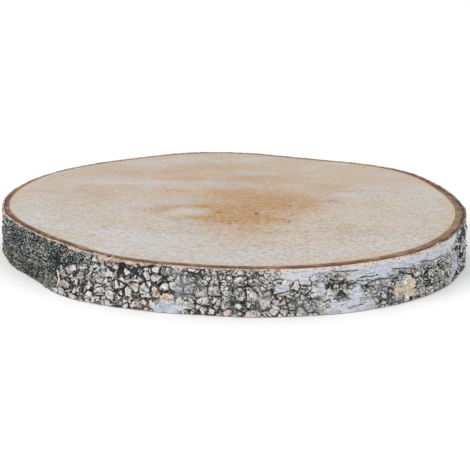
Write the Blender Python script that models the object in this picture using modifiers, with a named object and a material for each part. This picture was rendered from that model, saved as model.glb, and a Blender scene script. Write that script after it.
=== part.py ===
"""Birch wood slice: one disc sawn across a birch trunk, lying flat with its bark on.

The slice grew as one piece, so it is one solid. Its outline is a circle bent by a few waves, its two sawn
faces are flat, and its side carries the bark: rough plates with crevices between them, and smooth patches
where the white paper of the bark is whole. Metres, +Z up, origin at the middle of the face it rests on.
"""

import math

import bpy
import numpy as np
from mathutils import Vector, noise

# The slice
MEAN_RADIUS = 0.1445
THICKNESS = 0.030
# The trunk's outline: number of waves around it, their height as a share of the radius, phase in degrees
OUTLINE_WAVES = (
    (2, 0.035, -75),
    (3, 0.009, 134),
    (4, 0.006, 177),
    (5, 0.011, 138),
    (6, 0.007, -104),
    (7, 0.005, -78),
    (8, 0.006, 26),
)
FLARE = 0.007  # the trunk stands out this much further at the base than at the top, around FLARE_ANGLE
FLARE_ANGLE = 223  # degrees
FLARE_SPREAD = 13  # degrees

# The bark
BARK_THICKNESS = 0.0063
BARK_SWELL = 0.0014  # the bark is this much thicker at BARK_SWELL_ANGLE, and thinner opposite
BARK_SWELL_ANGLE = math.radians(-47)
RIM_DROOP = 0.0004  # the bark's cut edge lies this much below the sawn wood
PLATE_LENGTH = 0.0076
PLATE_HEIGHT = 0.0060
PLATE_SEED = 11
PLATE_SINK = 0.0009  # the lowest plates lie this much below the highest
CREVICE_DEPTH = 0.0019
CREVICE_WIDTH = 0.0036
RIM_CREVICE_SHARE = 0.35  # of their depth, which the crevices keep at the sawn edges
RIM_FADE = 0.004
SWELLING = 0.0010  # broad bumps of the trunk's surface
SWELLING_LENGTH = 0.030
WARP = 0.0028  # how far a plate's border wanders
WARP_LENGTH = 0.009
WANDER_SEED = 7  # the vector noise is seeded with it, because it starts from the clock otherwise

# Smooth patches of bark: angle and half width in degrees, height and half height in metres
PAPER_PATCHES = (
    (252, 0.004, 5, 0.006),
    (283, 0.025, 6, 0.007),
    (300, 0.027, 14, 0.006),
    (297, 0.006, 6, 0.007),
    (326, 0.026, 10, 0.007),
    (352, 0.012, 5, 0.010),
    (18, 0.020, 12, 0.009),
    (64, 0.009, 14, 0.008),
    (108, 0.023, 12, 0.007),
    (146, 0.010, 9, 0.010),
    (168, 0.024, 7, 0.008),
)
SMOOTH_SHARE = 0.12  # relief left on a smooth patch

# The mesh
COLUMNS = 380
SIDE_ROWS = 11

SAPWOOD = ("sapwood", (0.62, 0.50, 0.37), 0.6)
INNER_BARK = ("inner_bark", (0.22, 0.09, 0.045), 0.8)
OUTER_BARK = ("outer_bark", (0.42, 0.41, 0.39), 0.85)


def clear_scene():
    for obj in list(bpy.data.objects):
        bpy.data.objects.remove(obj)


def smooth_step(share):
    held = np.clip(share, 0.0, 1.0)
    return held * held * (3.0 - 2.0 * held)


def outline_radius(angle, height):
    """The trunk's radius under the bark's relief, at angles in radians and heights above the base."""
    waves = sum(
        share * np.cos(count * angle - math.radians(phase))
        for count, share, phase in OUTLINE_WAVES
    )
    turn = (np.degrees(angle) - FLARE_ANGLE + 180.0) % 360.0 - 180.0
    flare = FLARE * np.exp(-((turn / FLARE_SPREAD) ** 2))
    return MEAN_RADIUS * (1.0 + waves) + flare * (0.5 - height / THICKNESS)


def bark_thickness(angle):
    return BARK_THICKNESS + BARK_SWELL * np.cos(angle - BARK_SWELL_ANGLE)


def wander(angle, height, length):
    """Smooth noise vectors, from about -1 to 1, at places on the trunk's side."""
    places = zip(
        MEAN_RADIUS * np.cos(angle), MEAN_RADIUS * np.sin(angle), height, strict=True
    )
    return np.array([noise.noise_vector(Vector(place) / length) for place in places])


def paper_share(angle, height):
    """1 in the middle of a smooth patch of bark, 0 outside every patch."""
    share = np.zeros_like(angle)
    for middle, middle_height, half_width, half_height in PAPER_PATCHES:
        turn = np.degrees(angle) - middle
        across = ((turn + 180.0) % 360.0 - 180.0) / half_width
        up = (height - middle_height) / half_height
        share = np.maximum(share, smooth_step(1.6 - np.hypot(across, up)))
    return share


def nearest_plate(angle, height):
    """Distance from each place to its plate's border, as a share of a plate, and how sunken that plate is."""
    around = round(2.0 * math.pi * MEAN_RADIUS / PLATE_LENGTH)
    rows = math.ceil(THICKNESS / PLATE_HEIGHT) + 4
    draw = np.random.default_rng(PLATE_SEED)
    middles = draw.uniform(0.1, 0.9, (around, rows, 2))
    sinks = draw.uniform(0.0, 1.0, (around, rows))
    warp = WARP * wander(angle, height, WARP_LENGTH)
    along = (angle / (2.0 * math.pi)) % 1.0 * around + warp[:, 0] / PLATE_LENGTH
    up = 2.0 + (height + warp[:, 1]) / PLATE_HEIGHT
    nearest = np.full_like(angle, np.inf)
    second = np.full_like(angle, np.inf)
    sink = np.zeros_like(angle)
    for column_step in (-1, 0, 1):
        for row_step in (-1, 0, 1):
            column = np.floor(along).astype(int) + column_step
            row = np.clip(np.floor(up).astype(int) + row_step, 0, rows - 1)
            middle = middles[column % around, row]
            distance = np.hypot(
                along - column - middle[:, 0], up - row - middle[:, 1]
            )
            sink = np.where(distance < nearest, sinks[column % around, row], sink)
            second = np.minimum(second, np.maximum(nearest, distance))
            nearest = np.minimum(nearest, distance)
    return 0.5 * (second - nearest), sink


def bark_relief(angle, height):
    """How far the bark stands out from the trunk's outline, in metres: crevices and low plates lie under it."""
    border, sink = nearest_plate(angle, height)
    crevice = 1.0 - smooth_step(border * PLATE_LENGTH / (0.5 * CREVICE_WIDTH))
    edge = np.minimum(height, THICKNESS - height)
    fade = RIM_CREVICE_SHARE + (1.0 - RIM_CREVICE_SHARE) * smooth_step(edge / RIM_FADE)
    rough = 1.0 - (1.0 - SMOOTH_SHARE) * paper_share(angle, height)
    swelling = SWELLING * wander(angle, height, SWELLING_LENGTH)[:, 2]
    return swelling - rough * (CREVICE_DEPTH * crevice * fade + PLATE_SINK * sink)


def slice_profile():
    """Half of the slice's section, from the middle of the top face, out and down to the middle of the base."""
    cambium = MEAN_RADIUS - BARK_THICKNESS
    heights = np.linspace(THICKNESS - RIM_DROOP, RIM_DROOP, SIDE_ROWS + 1)
    side = [(MEAN_RADIUS, height) for height in heights]
    return [(0.0, THICKNESS), (cambium, THICKNESS), *side, (cambium, 0.0), (0.0, 0.0)]


def turned_blank():
    """A round blank of the slice: its profile turned by a Screw modifier, as a mesh."""
    profile = slice_profile()
    mesh = bpy.data.meshes.new("blank_profile")
    points = [(radius, 0.0, height) for radius, height in profile]
    mesh.from_pydata(points, [(i, i + 1) for i in range(len(points) - 1)], [])
    blank = bpy.data.objects.new("blank", mesh)
    bpy.context.scene.collection.objects.link(blank)
    turn = blank.modifiers.new("turn", "SCREW")
    turn.steps = turn.render_steps = COLUMNS
    turn.use_merge_vertices = True
    turn.merge_threshold = 0.00005
    graph = bpy.context.evaluated_depsgraph_get()
    turned = bpy.data.meshes.new_from_object(blank.evaluated_get(graph))
    bpy.data.objects.remove(blank)
    return turned


def shape_trunk(mesh):
    """Gives the round blank its outline and its bark's relief, and centres it on the origin."""
    points = np.empty(len(mesh.vertices) * 3, np.float32)
    mesh.vertices.foreach_get("co", points)
    points = points.reshape(-1, 3).astype(float)
    height = points[:, 2]
    blank_radius = np.hypot(points[:, 0], points[:, 1])
    angle = np.arctan2(points[:, 1], points[:, 0])
    outline = outline_radius(angle, height)
    on_side = blank_radius > MEAN_RADIUS - 0.5 * BARK_THICKNESS
    on_cambium = ~on_side & (blank_radius > 0.5 * MEAN_RADIUS)
    radius = np.where(on_cambium, outline - bark_thickness(angle), 0.0)
    radius[on_side] = outline[on_side] + bark_relief(angle[on_side], height[on_side])
    shaped = np.stack([radius * np.cos(angle), radius * np.sin(angle), height], axis=1)
    shaped[:, :2] -= 0.5 * (shaped[:, :2].min(axis=0) + shaped[:, :2].max(axis=0))
    mesh.vertices.foreach_set("co", shaped.astype(np.float32).ravel())
    mesh.update()


def make_material(name, color, roughness):
    material = bpy.data.materials.new(name)
    material.use_nodes = True
    shader = material.node_tree.nodes["Principled BSDF"]
    shader.inputs["Base Color"].default_value = (*color, 1.0)
    shader.inputs["Roughness"].default_value = roughness
    shader.inputs["Metallic"].default_value = 0.0
    return material


def paint_layers(mesh):
    """Sawn wood inside the cambium, brown inner bark on the cut ring, and outer bark on the side."""
    for finish in (SAPWOOD, INNER_BARK, OUTER_BARK):
        mesh.materials.append(make_material(*finish))
    rim_heights = (0.5 * RIM_DROOP, THICKNESS - 0.5 * RIM_DROOP)
    for face in mesh.polygons:
        heights = [mesh.vertices[corner].co.z for corner in face.vertices]
        on_bark = [rim_heights[0] < height < rim_heights[1] for height in heights]
        if all(on_bark):
            face.material_index = 2
        elif any(on_bark):
            face.material_index = 1
        face.use_smooth = all(on_bark)


def main():
    clear_scene()
    noise.seed_set(WANDER_SEED)
    mesh = turned_blank()
    mesh.name = "birch_slice"
    shape_trunk(mesh)
    paint_layers(mesh)
    mesh.set_sharp_from_angle(angle=math.radians(40))
    birch_slice = bpy.data.objects.new("birch_slice", mesh)
    collection = bpy.data.collections.new("birch_wood_slice")
    bpy.context.scene.collection.children.link(collection)
    collection.objects.link(birch_slice)


main()
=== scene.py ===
"""A birch wood slice: the looks of a disc sawn across a birch trunk, dressed round its solid.

The solid gives the slice its place, its outline and its plates of bark. The pieces made here stand for it:
the sawn wood with its growth rings and heart stain, the brown inner bark on the cut ring, the weathered
outer bark, and what sits on that, which is flaky scales, grains of algae, curls of peeling paper and torn
fibres at the rim. Metres, +Z up, with the side that faces the camera at -Y.
"""

import logging
import math
from collections.abc import Iterable, Sequence
from dataclasses import dataclass, field, replace
from enum import Enum
from functools import reduce
from typing import ClassVar

import bpy
import numpy as np
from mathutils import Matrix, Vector, noise


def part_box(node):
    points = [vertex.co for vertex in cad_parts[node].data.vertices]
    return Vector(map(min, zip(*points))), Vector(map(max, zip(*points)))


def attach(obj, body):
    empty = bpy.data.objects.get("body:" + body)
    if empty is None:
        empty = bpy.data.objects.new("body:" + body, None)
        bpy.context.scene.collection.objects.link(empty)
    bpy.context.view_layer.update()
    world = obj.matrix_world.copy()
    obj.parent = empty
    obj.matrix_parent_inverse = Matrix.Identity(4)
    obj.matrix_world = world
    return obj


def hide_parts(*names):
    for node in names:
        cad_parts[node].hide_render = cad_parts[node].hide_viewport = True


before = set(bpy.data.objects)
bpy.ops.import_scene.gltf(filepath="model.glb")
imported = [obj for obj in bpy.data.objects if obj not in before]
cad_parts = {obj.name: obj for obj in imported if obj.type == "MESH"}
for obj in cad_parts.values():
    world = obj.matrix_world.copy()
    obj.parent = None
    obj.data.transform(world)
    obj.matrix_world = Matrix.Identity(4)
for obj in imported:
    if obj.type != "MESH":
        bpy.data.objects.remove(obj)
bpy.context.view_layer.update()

NODE = "birch_slice"
BODY = "root"
BAKE_MAP = "OFBake"
MM = 0.001
TURN = 2.0 * math.pi
LOG = logging.getLogger("birch_slice")

Array = np.ndarray
Color = tuple[float, float, float, float]
Stops = tuple[tuple[float, Color], ...]


class Slot(Enum):
    """The record's material slots."""

    SAPWOOD = "sapwood"
    INNER_BARK = "inner_bark"
    OUTER_BARK = "outer_bark"


class Zone(Enum):
    """What has grown or worn on a patch of the bark's side."""

    SMOOTH = "smooth"
    PAPER = "paper"
    ALGAE = "algae"
    SCAR = "scar"
    SHADE = "shade"
    LIGHT = "light"
    FINE = "fine"
    GREY = "grey"
    BROWN = "brown"
    PINK = "pink"
    OCHRE = "ochre"
    BLUE = "blue"
    CURLED = "curled"
    TORN = "torn"
    APART = "apart"
    DULL = "dull"


def paint(red: float, green: float, blue: float) -> Color:
    """A colour for a shader's socket.

    Args:
        red: red as a screen shows it, from 0 to 255.
        green: green likewise.
        blue: blue likewise.

    Returns:
        The linear colour, opaque.
    """
    linear = [((part / 255.0 + 0.055) / 1.055) ** 2.4 for part in (red, green, blue)]
    return (linear[0], linear[1], linear[2], 1.0)


def smooth_step(share: Array) -> Array:
    """0 below 0, 1 above 1, and a smooth rise between."""
    held = np.clip(share, 0.0, 1.0)
    return held * held * (3.0 - 2.0 * held)


class Wire:
    """One output of a node, with arithmetic that adds Math nodes to its tree."""

    def __init__(self, bench: "Bench", socket: bpy.types.NodeSocket | None) -> None:
        """Keeps the bench that made the node, and the socket."""
        self.bench = bench
        self.socket = socket

    def other(self, name: str) -> "Wire":
        """The same node's output of that name."""
        return Wire(self.bench, self.bench.find(self.socket.node.outputs, name))

    def __add__(self, value: "Wire | float") -> "Wire":
        """This plus a value."""
        return self.bench.maths("ADD", self, value)

    def __radd__(self, value: float) -> "Wire":
        """A value plus this."""
        return self.bench.maths("ADD", value, self)

    def __sub__(self, value: "Wire | float") -> "Wire":
        """This less a value."""
        return self.bench.maths("SUBTRACT", self, value)

    def __rsub__(self, value: float) -> "Wire":
        """A value less this."""
        return self.bench.maths("SUBTRACT", value, self)

    def __mul__(self, value: "Wire | float") -> "Wire":
        """This times a value."""
        return self.bench.maths("MULTIPLY", self, value)

    def __rmul__(self, value: float) -> "Wire":
        """A value times this."""
        return self.bench.maths("MULTIPLY", value, self)

    def __truediv__(self, value: "Wire | float") -> "Wire":
        """This over a value."""
        return self.bench.maths("DIVIDE", self, value)

    def __mod__(self, value: "Wire | float") -> "Wire":
        """What is left of this after whole multiples of a value, never negative."""
        return self.bench.maths("FLOORED_MODULO", self, value)


Feed = Wire | float | int | str | Sequence[float] | list


class Bench:
    """Adds nodes to one tree. Shapes and finishes are both written on one."""

    def __init__(self, tree: bpy.types.NodeTree) -> None:
        """Keeps the tree to work on."""
        self.tree = tree

    @staticmethod
    def find(sockets: Iterable[bpy.types.NodeSocket], key: str | int) -> bpy.types.NodeSocket:
        """The live socket of that name, or of that place among the live ones."""
        live = [socket for socket in sockets if socket.enabled]
        if isinstance(key, int):
            return live[key]
        return next(socket for socket in live if socket.name == key)

    def mark(self, name: str) -> Wire:
        """A number that the mesh carries at each point."""
        raise NotImplementedError

    def mark_place(self, name: str) -> Wire:
        """A place that the mesh carries at each point."""
        raise NotImplementedError

    def node(
        self,
        kind: str,
        settings: dict[str, object] | None = None,
        feeds: dict[str | int, Feed] | None = None,
        take: str | int = 0,
    ) -> Wire:
        """Adds a node.

        Args:
            kind: the node's type.
            settings: its own settings, set first. The stops of a ramp are pairs of place and colour.
            feeds: a value, a wire or a list of wires for each socket, by name or place.
            take: the output to return.

        Returns:
            That output, or an empty wire from a node without outputs.
        """
        made = self.tree.nodes.new(kind)
        for name, value in (settings or {}).items():
            if name == "stops":
                self.set_stops(made.color_ramp, value)
            else:
                setattr(made, name, value)
        for key, value in (feeds or {}).items():
            socket = self.find(made.inputs, key)
            for one in value if isinstance(value, list) else [value]:
                if isinstance(one, Wire):
                    self.tree.links.new(one.socket, socket)
                else:
                    socket.default_value = one
        return Wire(self, self.find(made.outputs, take) if len(made.outputs) else None)

    @staticmethod
    def set_stops(ramp: bpy.types.ColorRamp, stops: Stops) -> None:
        """Gives a colour ramp its stops."""
        while len(ramp.elements) > 1:
            ramp.elements.remove(ramp.elements[-1])
        for number, (place, color) in enumerate(stops):
            element = ramp.elements[0] if number == 0 else ramp.elements.new(place)
            element.position = place
            element.color = color

    def maths(self, operation: str, *values: Wire | float) -> Wire:
        """Adds a Math node."""
        return self.node("ShaderNodeMath", {"operation": operation}, dict(enumerate(values)))

    def most(self, *values: Wire | float) -> Wire:
        """The largest of some values."""
        return reduce(lambda first, other: self.maths("MAXIMUM", first, other), values)

    def vector(self, operation: str, *values: Feed) -> Wire:
        """Adds a Vector Math node."""
        return self.node("ShaderNodeVectorMath", {"operation": operation}, dict(enumerate(values)))

    def axes(self, place: Wire) -> Wire:
        """The X of a place. Its Y and Z are the same node's other outputs."""
        return self.node("ShaderNodeSeparateXYZ", None, {0: place})

    def rise(self, value: Wire, low: float, high: float) -> Wire:
        """0 below low, 1 above high, and a smooth rise between. With low over high it falls."""
        ends = {"Value": value, "From Min": low, "From Max": high}
        return self.node("ShaderNodeMapRange", {"interpolation_type": "SMOOTHSTEP"}, ends)

    def cloud(self, place: Wire, scale: float, detail: float = 2.0, rough: float = 0.5) -> Wire:
        """Smooth noise, around 0.5."""
        feeds = {"Vector": place, "Scale": scale, "Detail": detail, "Roughness": rough}
        return self.node("ShaderNodeTexNoise", None, feeds)

    def stretch(self, place: Wire, along_x: float, along_y: float, along_z: float) -> Wire:
        """A place with its axes scaled apart, for a pattern with a direction."""
        return self.vector("MULTIPLY", place, (along_x, along_y, along_z))

    def stray(self, place: Wire, scale: float, reach: float, detail: float = 1.0) -> Wire:
        """A place moved by noise, for a pattern with wandering edges. More detail makes them ragged."""
        push = self.vector("SUBTRACT", self.cloud(place, scale, detail, 0.6).other("Color"), (0.5, 0.5, 0.5))
        return self.vector("MULTIPLY_ADD", push, (reach, reach, reach), place)

    def ramp(self, stops: Stops, tone: Wire) -> Wire:
        """A colour from a ramp, by tone."""
        return self.node("ShaderNodeValToRGB", {"stops": stops}, {"Fac": tone})

    def blend(self, share: Wire | float, under: Wire | Color, over: Wire | Color) -> Wire:
        """One colour over another, by share."""
        feeds = {"Factor": share, "A": under, "B": over}
        return self.node("ShaderNodeMix", {"data_type": "RGBA"}, feeds)

    def mix(self, share: Wire | float, low: Wire | float, high: Wire | float) -> Wire:
        """A number between two, by share."""
        return self.node("ShaderNodeMix", {"data_type": "FLOAT"}, {"Factor": share, "A": low, "B": high})

    def shade(self, share: Wire | float, color: Wire | Color, tint: Wire | Color) -> Wire:
        """A colour multiplied by another, by share."""
        feeds = {"Factor": share, "A": color, "B": tint}
        return self.node("ShaderNodeMix", {"data_type": "RGBA", "blend_type": "MULTIPLY"}, feeds)


class FinishBench(Bench):
    """A material's tree."""

    def __init__(self, name: str) -> None:
        """Starts a material of that name, with nothing in its tree."""
        self.material = bpy.data.materials.new(name)
        self.material.use_nodes = True
        self.material.node_tree.nodes.clear()
        super().__init__(self.material.node_tree)

    def place(self) -> Wire:
        """The place in the slice's own frame, in metres."""
        return self.node("ShaderNodeTexCoord", None, None, "Object")

    def mark(self, name: str) -> Wire:
        """A number that the mesh carries at each point."""
        return self.node("ShaderNodeAttribute", {"attribute_name": name}, None, "Fac")

    def mark_place(self, name: str) -> Wire:
        """A place that the mesh carries at each point."""
        return self.node("ShaderNodeAttribute", {"attribute_name": name}, None, "Vector")

    def close(self, color: Wire, roughness: Wire | float, height: Wire, depth: float) -> bpy.types.Material:
        """Ends the tree in one shader.

        Args:
            color: the base colour.
            roughness: the roughness.
            height: fine relief, from 0 to 1.
            depth: what that relief measures, in metres.

        Returns:
            The material.
        """
        normal = self.node("ShaderNodeBump", None, {"Height": height, "Distance": depth, "Strength": 1.0})
        feeds = {"Base Color": color, "Roughness": roughness, "Normal": normal, "Specular IOR Level": 0.3}
        shader = self.node("ShaderNodeBsdfPrincipled", None, feeds)
        self.node("ShaderNodeOutputMaterial", None, {"Surface": shader})
        return self.material


class ShapeBench(Bench):
    """A Geometry Nodes tree with named inputs, which is run once on a mesh."""

    SOCKETS: ClassVar[dict[type, str]] = {
        float: "NodeSocketFloat",
        int: "NodeSocketInt",
        tuple: "NodeSocketVector",
        bpy.types.Material: "NodeSocketMaterial",
    }

    def __init__(self, name: str, sizes: dict[str, object]) -> None:
        """Starts the tree.

        Args:
            name: the tree's name.
            sizes: its inputs, each with the value that it runs with.
        """
        super().__init__(bpy.data.node_groups.new(name, "GeometryNodeTree"))
        face = self.tree.interface
        face.new_socket("Geometry", in_out="OUTPUT", socket_type="NodeSocketGeometry")
        face.new_socket("Geometry", in_out="INPUT", socket_type="NodeSocketGeometry")
        self.values: dict[str, object] = {}
        for label, value in sizes.items():
            socket = face.new_socket(label, in_out="INPUT", socket_type=self.SOCKETS[type(value)])
            self.values[socket.identifier] = value
        self.entry = self.node("NodeGroupInput")

    def given(self, label: str) -> Wire:
        """The input of that name."""
        return self.entry.other(label)

    def mark(self, name: str) -> Wire:
        """A number that the mesh carries at each point."""
        return self.node("GeometryNodeInputNamedAttribute", {"data_type": "FLOAT"}, {"Name": name})

    def mark_place(self, name: str) -> Wire:
        """A place that the mesh carries at each point."""
        return self.node("GeometryNodeInputNamedAttribute", {"data_type": "FLOAT_VECTOR"}, {"Name": name})

    def keep(self, shape: Wire, name: str, value: Feed, domain: str = "POINT", kind: str = "FLOAT") -> Wire:
        """Stores a value on a shape under a name."""
        feeds = {"Geometry": shape, "Name": name, "Value": value}
        return self.node("GeometryNodeStoreNamedAttribute", {"data_type": kind, "domain": domain}, feeds)

    def chance(self, low: float, high: float, seed: int) -> Wire:
        """A random number for each element."""
        feeds = {"Min": low, "Max": high, "Seed": seed}
        return self.node("FunctionNodeRandomValue", {"data_type": "FLOAT"}, feeds)

    def spot(self) -> Wire:
        """The place of each element."""
        return self.node("GeometryNodeInputPosition")

    def move(self, shape: Wire, place: Wire) -> Wire:
        """A shape with its points put at other places."""
        return self.node("GeometryNodeSetPosition", None, {"Geometry": shape, "Position": place})

    def point(self, x: Wire | float, y: Wire | float, z: Wire | float) -> Wire:
        """A vector from its parts."""
        return self.node("ShaderNodeCombineXYZ", None, {"X": x, "Y": y, "Z": z})

    def run(self, shape: Wire, start: bpy.types.Mesh, name: str) -> bpy.types.Mesh:
        """Ends the tree in real meshes with their material, runs it, and takes its result.

        Args:
            shape: the finished shape. The input "Finish" is its material.
            start: the mesh that the tree starts from, which is used up.
            name: the result's name.

        Returns:
            The result as a plain mesh.
        """
        real = self.node("GeometryNodeRealizeInstances", None, {"Geometry": shape})
        feeds = {"Geometry": real, "Material": self.given("Finish")}
        dressed = self.node("GeometryNodeSetMaterial", None, feeds)
        self.node("NodeGroupOutput", None, {"Geometry": dressed})
        holder = bpy.data.objects.new(name + "_start", start)
        bpy.context.scene.collection.objects.link(holder)
        modifier = holder.modifiers.new(self.tree.name, "NODES")
        modifier.node_group = self.tree
        for identifier, value in self.values.items():
            modifier[identifier] = value
        graph = bpy.context.evaluated_depsgraph_get()
        mesh = bpy.data.meshes.new_from_object(holder.evaluated_get(graph))
        bpy.data.objects.remove(holder)
        bpy.data.meshes.remove(start)
        mesh.name = name
        return mesh


class MeshMarks:
    """Reads and writes what a mesh carries at its points and corners."""

    def __init__(self, mesh: bpy.types.Mesh) -> None:
        """Keeps the mesh."""
        self.mesh = mesh

    def points(self) -> Array:
        """The places of the mesh's points, one row each."""
        places = np.empty(len(self.mesh.vertices) * 3, np.float32)
        self.mesh.vertices.foreach_get("co", places)
        return places.reshape(-1, 3).astype(float)

    def write(self, name: str, values: Array) -> None:
        """Stores one number for each point."""
        mark = self.mesh.attributes.new(name, "FLOAT", "POINT")
        mark.data.foreach_set("value", values.astype(np.float32).ravel())

    def write_places(self, name: str, places: Array) -> None:
        """Stores one place for each point."""
        mark = self.mesh.attributes.new(name, "FLOAT_VECTOR", "POINT")
        mark.data.foreach_set("vector", places.astype(np.float32).ravel())

    def read(self, name: str) -> Array:
        """One number for each point."""
        values = np.empty(len(self.mesh.vertices), np.float32)
        self.mesh.attributes[name].data.foreach_get("value", values)
        return values

    def corners(self) -> Array:
        """The point that each corner is at."""
        corners = np.empty(len(self.mesh.loops), np.int32)
        self.mesh.loops.foreach_get("vertex_index", corners)
        return corners

    def corner_faces(self) -> Array:
        """The face that each corner is on."""
        totals = np.empty(len(self.mesh.polygons), np.int32)
        self.mesh.polygons.foreach_get("loop_total", totals)
        return np.repeat(np.arange(len(totals)), totals)

    def face_normals(self) -> Array:
        """The direction that each face looks in."""
        normals = np.empty(len(self.mesh.polygons) * 3, np.float32)
        self.mesh.polygons.foreach_get("normal", normals)
        return normals.reshape(-1, 3)

    def lay_out(self, places: Array) -> None:
        """Stores the map that the finish is baked on: a place in the unit square for each corner."""
        layer = self.mesh.uv_layers.new(name=BAKE_MAP)
        layer.data.foreach_set("uv", places.astype(np.float32).ravel())

    def lay_out_cells(self, number: str, reach: float) -> None:
        """Gives each small shape a cell of the bake's map, its top on the left and its base on the right.

        Args:
            number: the mark that numbers the shapes.
            reach: the mark "local_x" and "local_y" of a shape lie within this of 0.
        """
        corners = self.corners()
        numbers = np.unique(self.read(number), return_inverse=True)[1][corners]
        side = math.ceil(math.sqrt(numbers.max() + 1))
        local = np.stack([self.read("local_x"), self.read("local_y")], axis=1)[corners]
        local = np.clip(0.5 + 0.46 * local / reach, 0.04, 0.96)
        heights = self.read("local_z")[corners]
        faces = self.corner_faces()
        counts = np.bincount(faces)
        is_top = (np.bincount(faces, heights) / counts >= 0.0)[faces]
        local[:, 0] = 0.5 * local[:, 0] + np.where(is_top, 0.0, 0.5)
        cell = np.stack([numbers % side, numbers // side], axis=1)
        self.lay_out((cell + local) / side)


def hand_over(mesh: bpy.types.Mesh, slot: Slot) -> bpy.types.Object:
    """Places a finished mesh in the scene, riding on the slice in place of its solid.

    Args:
        mesh: the mesh, named as its piece.
        slot: the record's slot of its finish; not used.

    Returns:
        The piece.
    """
    piece = bpy.data.objects.new(mesh.name, mesh)
    bpy.context.scene.collection.objects.link(piece)
    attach(piece, BODY)
    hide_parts(NODE)
    sides = np.empty(len(mesh.polygons), np.int32)
    mesh.polygons.foreach_get("loop_total", sides)
    LOG.info("%s: %d triangles", piece.name, int((sides - 2).sum()))
    return piece


@dataclass(frozen=True)
class Trunk:
    """The trunk's outline, in the waves that its solid has."""

    thickness: float
    centre: tuple[float, float]
    mean_radius: float = 0.1445
    waves: tuple[tuple[int, float, float], ...] = (
        (2, 0.035, -75),
        (3, 0.009, 134),
        (4, 0.006, 177),
        (5, 0.011, 138),
        (6, 0.007, -104),
        (7, 0.005, -78),
        (8, 0.006, 26),
    )
    flare: float = 7.0 * MM
    flare_angle: float = 223.0
    flare_spread: float = 13.0
    bark: float = 6.3 * MM
    bark_swell: float = 1.4 * MM
    bark_swell_angle: float = math.radians(-47)
    droop: float = 0.4 * MM
    wander_seed: int = 7

    @classmethod
    def from_frame(cls) -> "Trunk":
        """Reads the thickness from the solid's box, and fits the centre to the rim of its sawn top face."""
        low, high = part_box(NODE)
        trunk = cls(high[2] - low[2], (0.0, 0.0))
        solid = MeshMarks(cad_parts[NODE].data).points()
        rim = solid[solid[:, 2] > high[2] - 0.1 * MM][:, :2]
        centre = np.zeros(2)
        for _ in range(8):
            away = rim - centre
            angle = np.arctan2(away[:, 1], away[:, 0])
            gap = np.hypot(away[:, 0], away[:, 1]) - trunk.wood(angle, trunk.thickness)
            centre += np.linalg.lstsq(np.stack([np.cos(angle), np.sin(angle)], axis=1), gap)[0]
        return replace(trunk, centre=(centre[0], centre[1]))

    def outline(self, angle: Array, height: Array | float) -> Array:
        """The trunk's radius under the bark's relief, at angles in radians and heights above the base."""
        waves = sum(share * np.cos(count * angle - math.radians(phase)) for count, share, phase in self.waves)
        turn = (np.degrees(angle) - self.flare_angle + 180.0) % 360.0 - 180.0
        flare = self.flare * np.exp(-((turn / self.flare_spread) ** 2))
        return self.mean_radius * (1.0 + waves) + flare * (0.5 - height / self.thickness)

    def wood(self, angle: Array, height: Array | float) -> Array:
        """The radius at which the wood ends and the bark begins."""
        swell = self.bark_swell * np.cos(angle - self.bark_swell_angle)
        return self.outline(angle, height) - self.bark - swell

    def place(self, angle: Array, radius: Array, height: Array) -> Array:
        """Points in the slice's frame, one row each, from angles, radii and heights of like shape."""
        x = radius * np.cos(angle) + self.centre[0]
        y = radius * np.sin(angle) + self.centre[1]
        return np.stack([x, y, height], axis=-1)

    def wander(self, angle: Array, height: Array, length: float) -> Array:
        """Smooth noise from about -1 to 1, at places on the trunk's side, seeded as the solid's is."""
        noise.seed_set(self.wander_seed)
        places = zip(
            self.mean_radius * np.cos(angle), self.mean_radius * np.sin(angle), height, strict=True
        )
        return np.array([noise.noise_vector(Vector(place) / length) for place in places])


@dataclass(frozen=True)
class Patch:
    """A patch on the bark's side: its middle and half sizes, in degrees round the trunk and metres up."""

    zone: Zone
    angle: float
    height: float
    half_angle: float
    half_height: float

    def share(self, angle: Array, height: Array) -> Array:
        """1 in the middle of the patch, 0 outside it."""
        turn = (np.degrees(angle) - self.angle + 180.0) % 360.0 - 180.0
        spread = np.hypot(turn / self.half_angle, (height - self.height) / self.half_height)
        return smooth_step(1.6 - spread)


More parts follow.
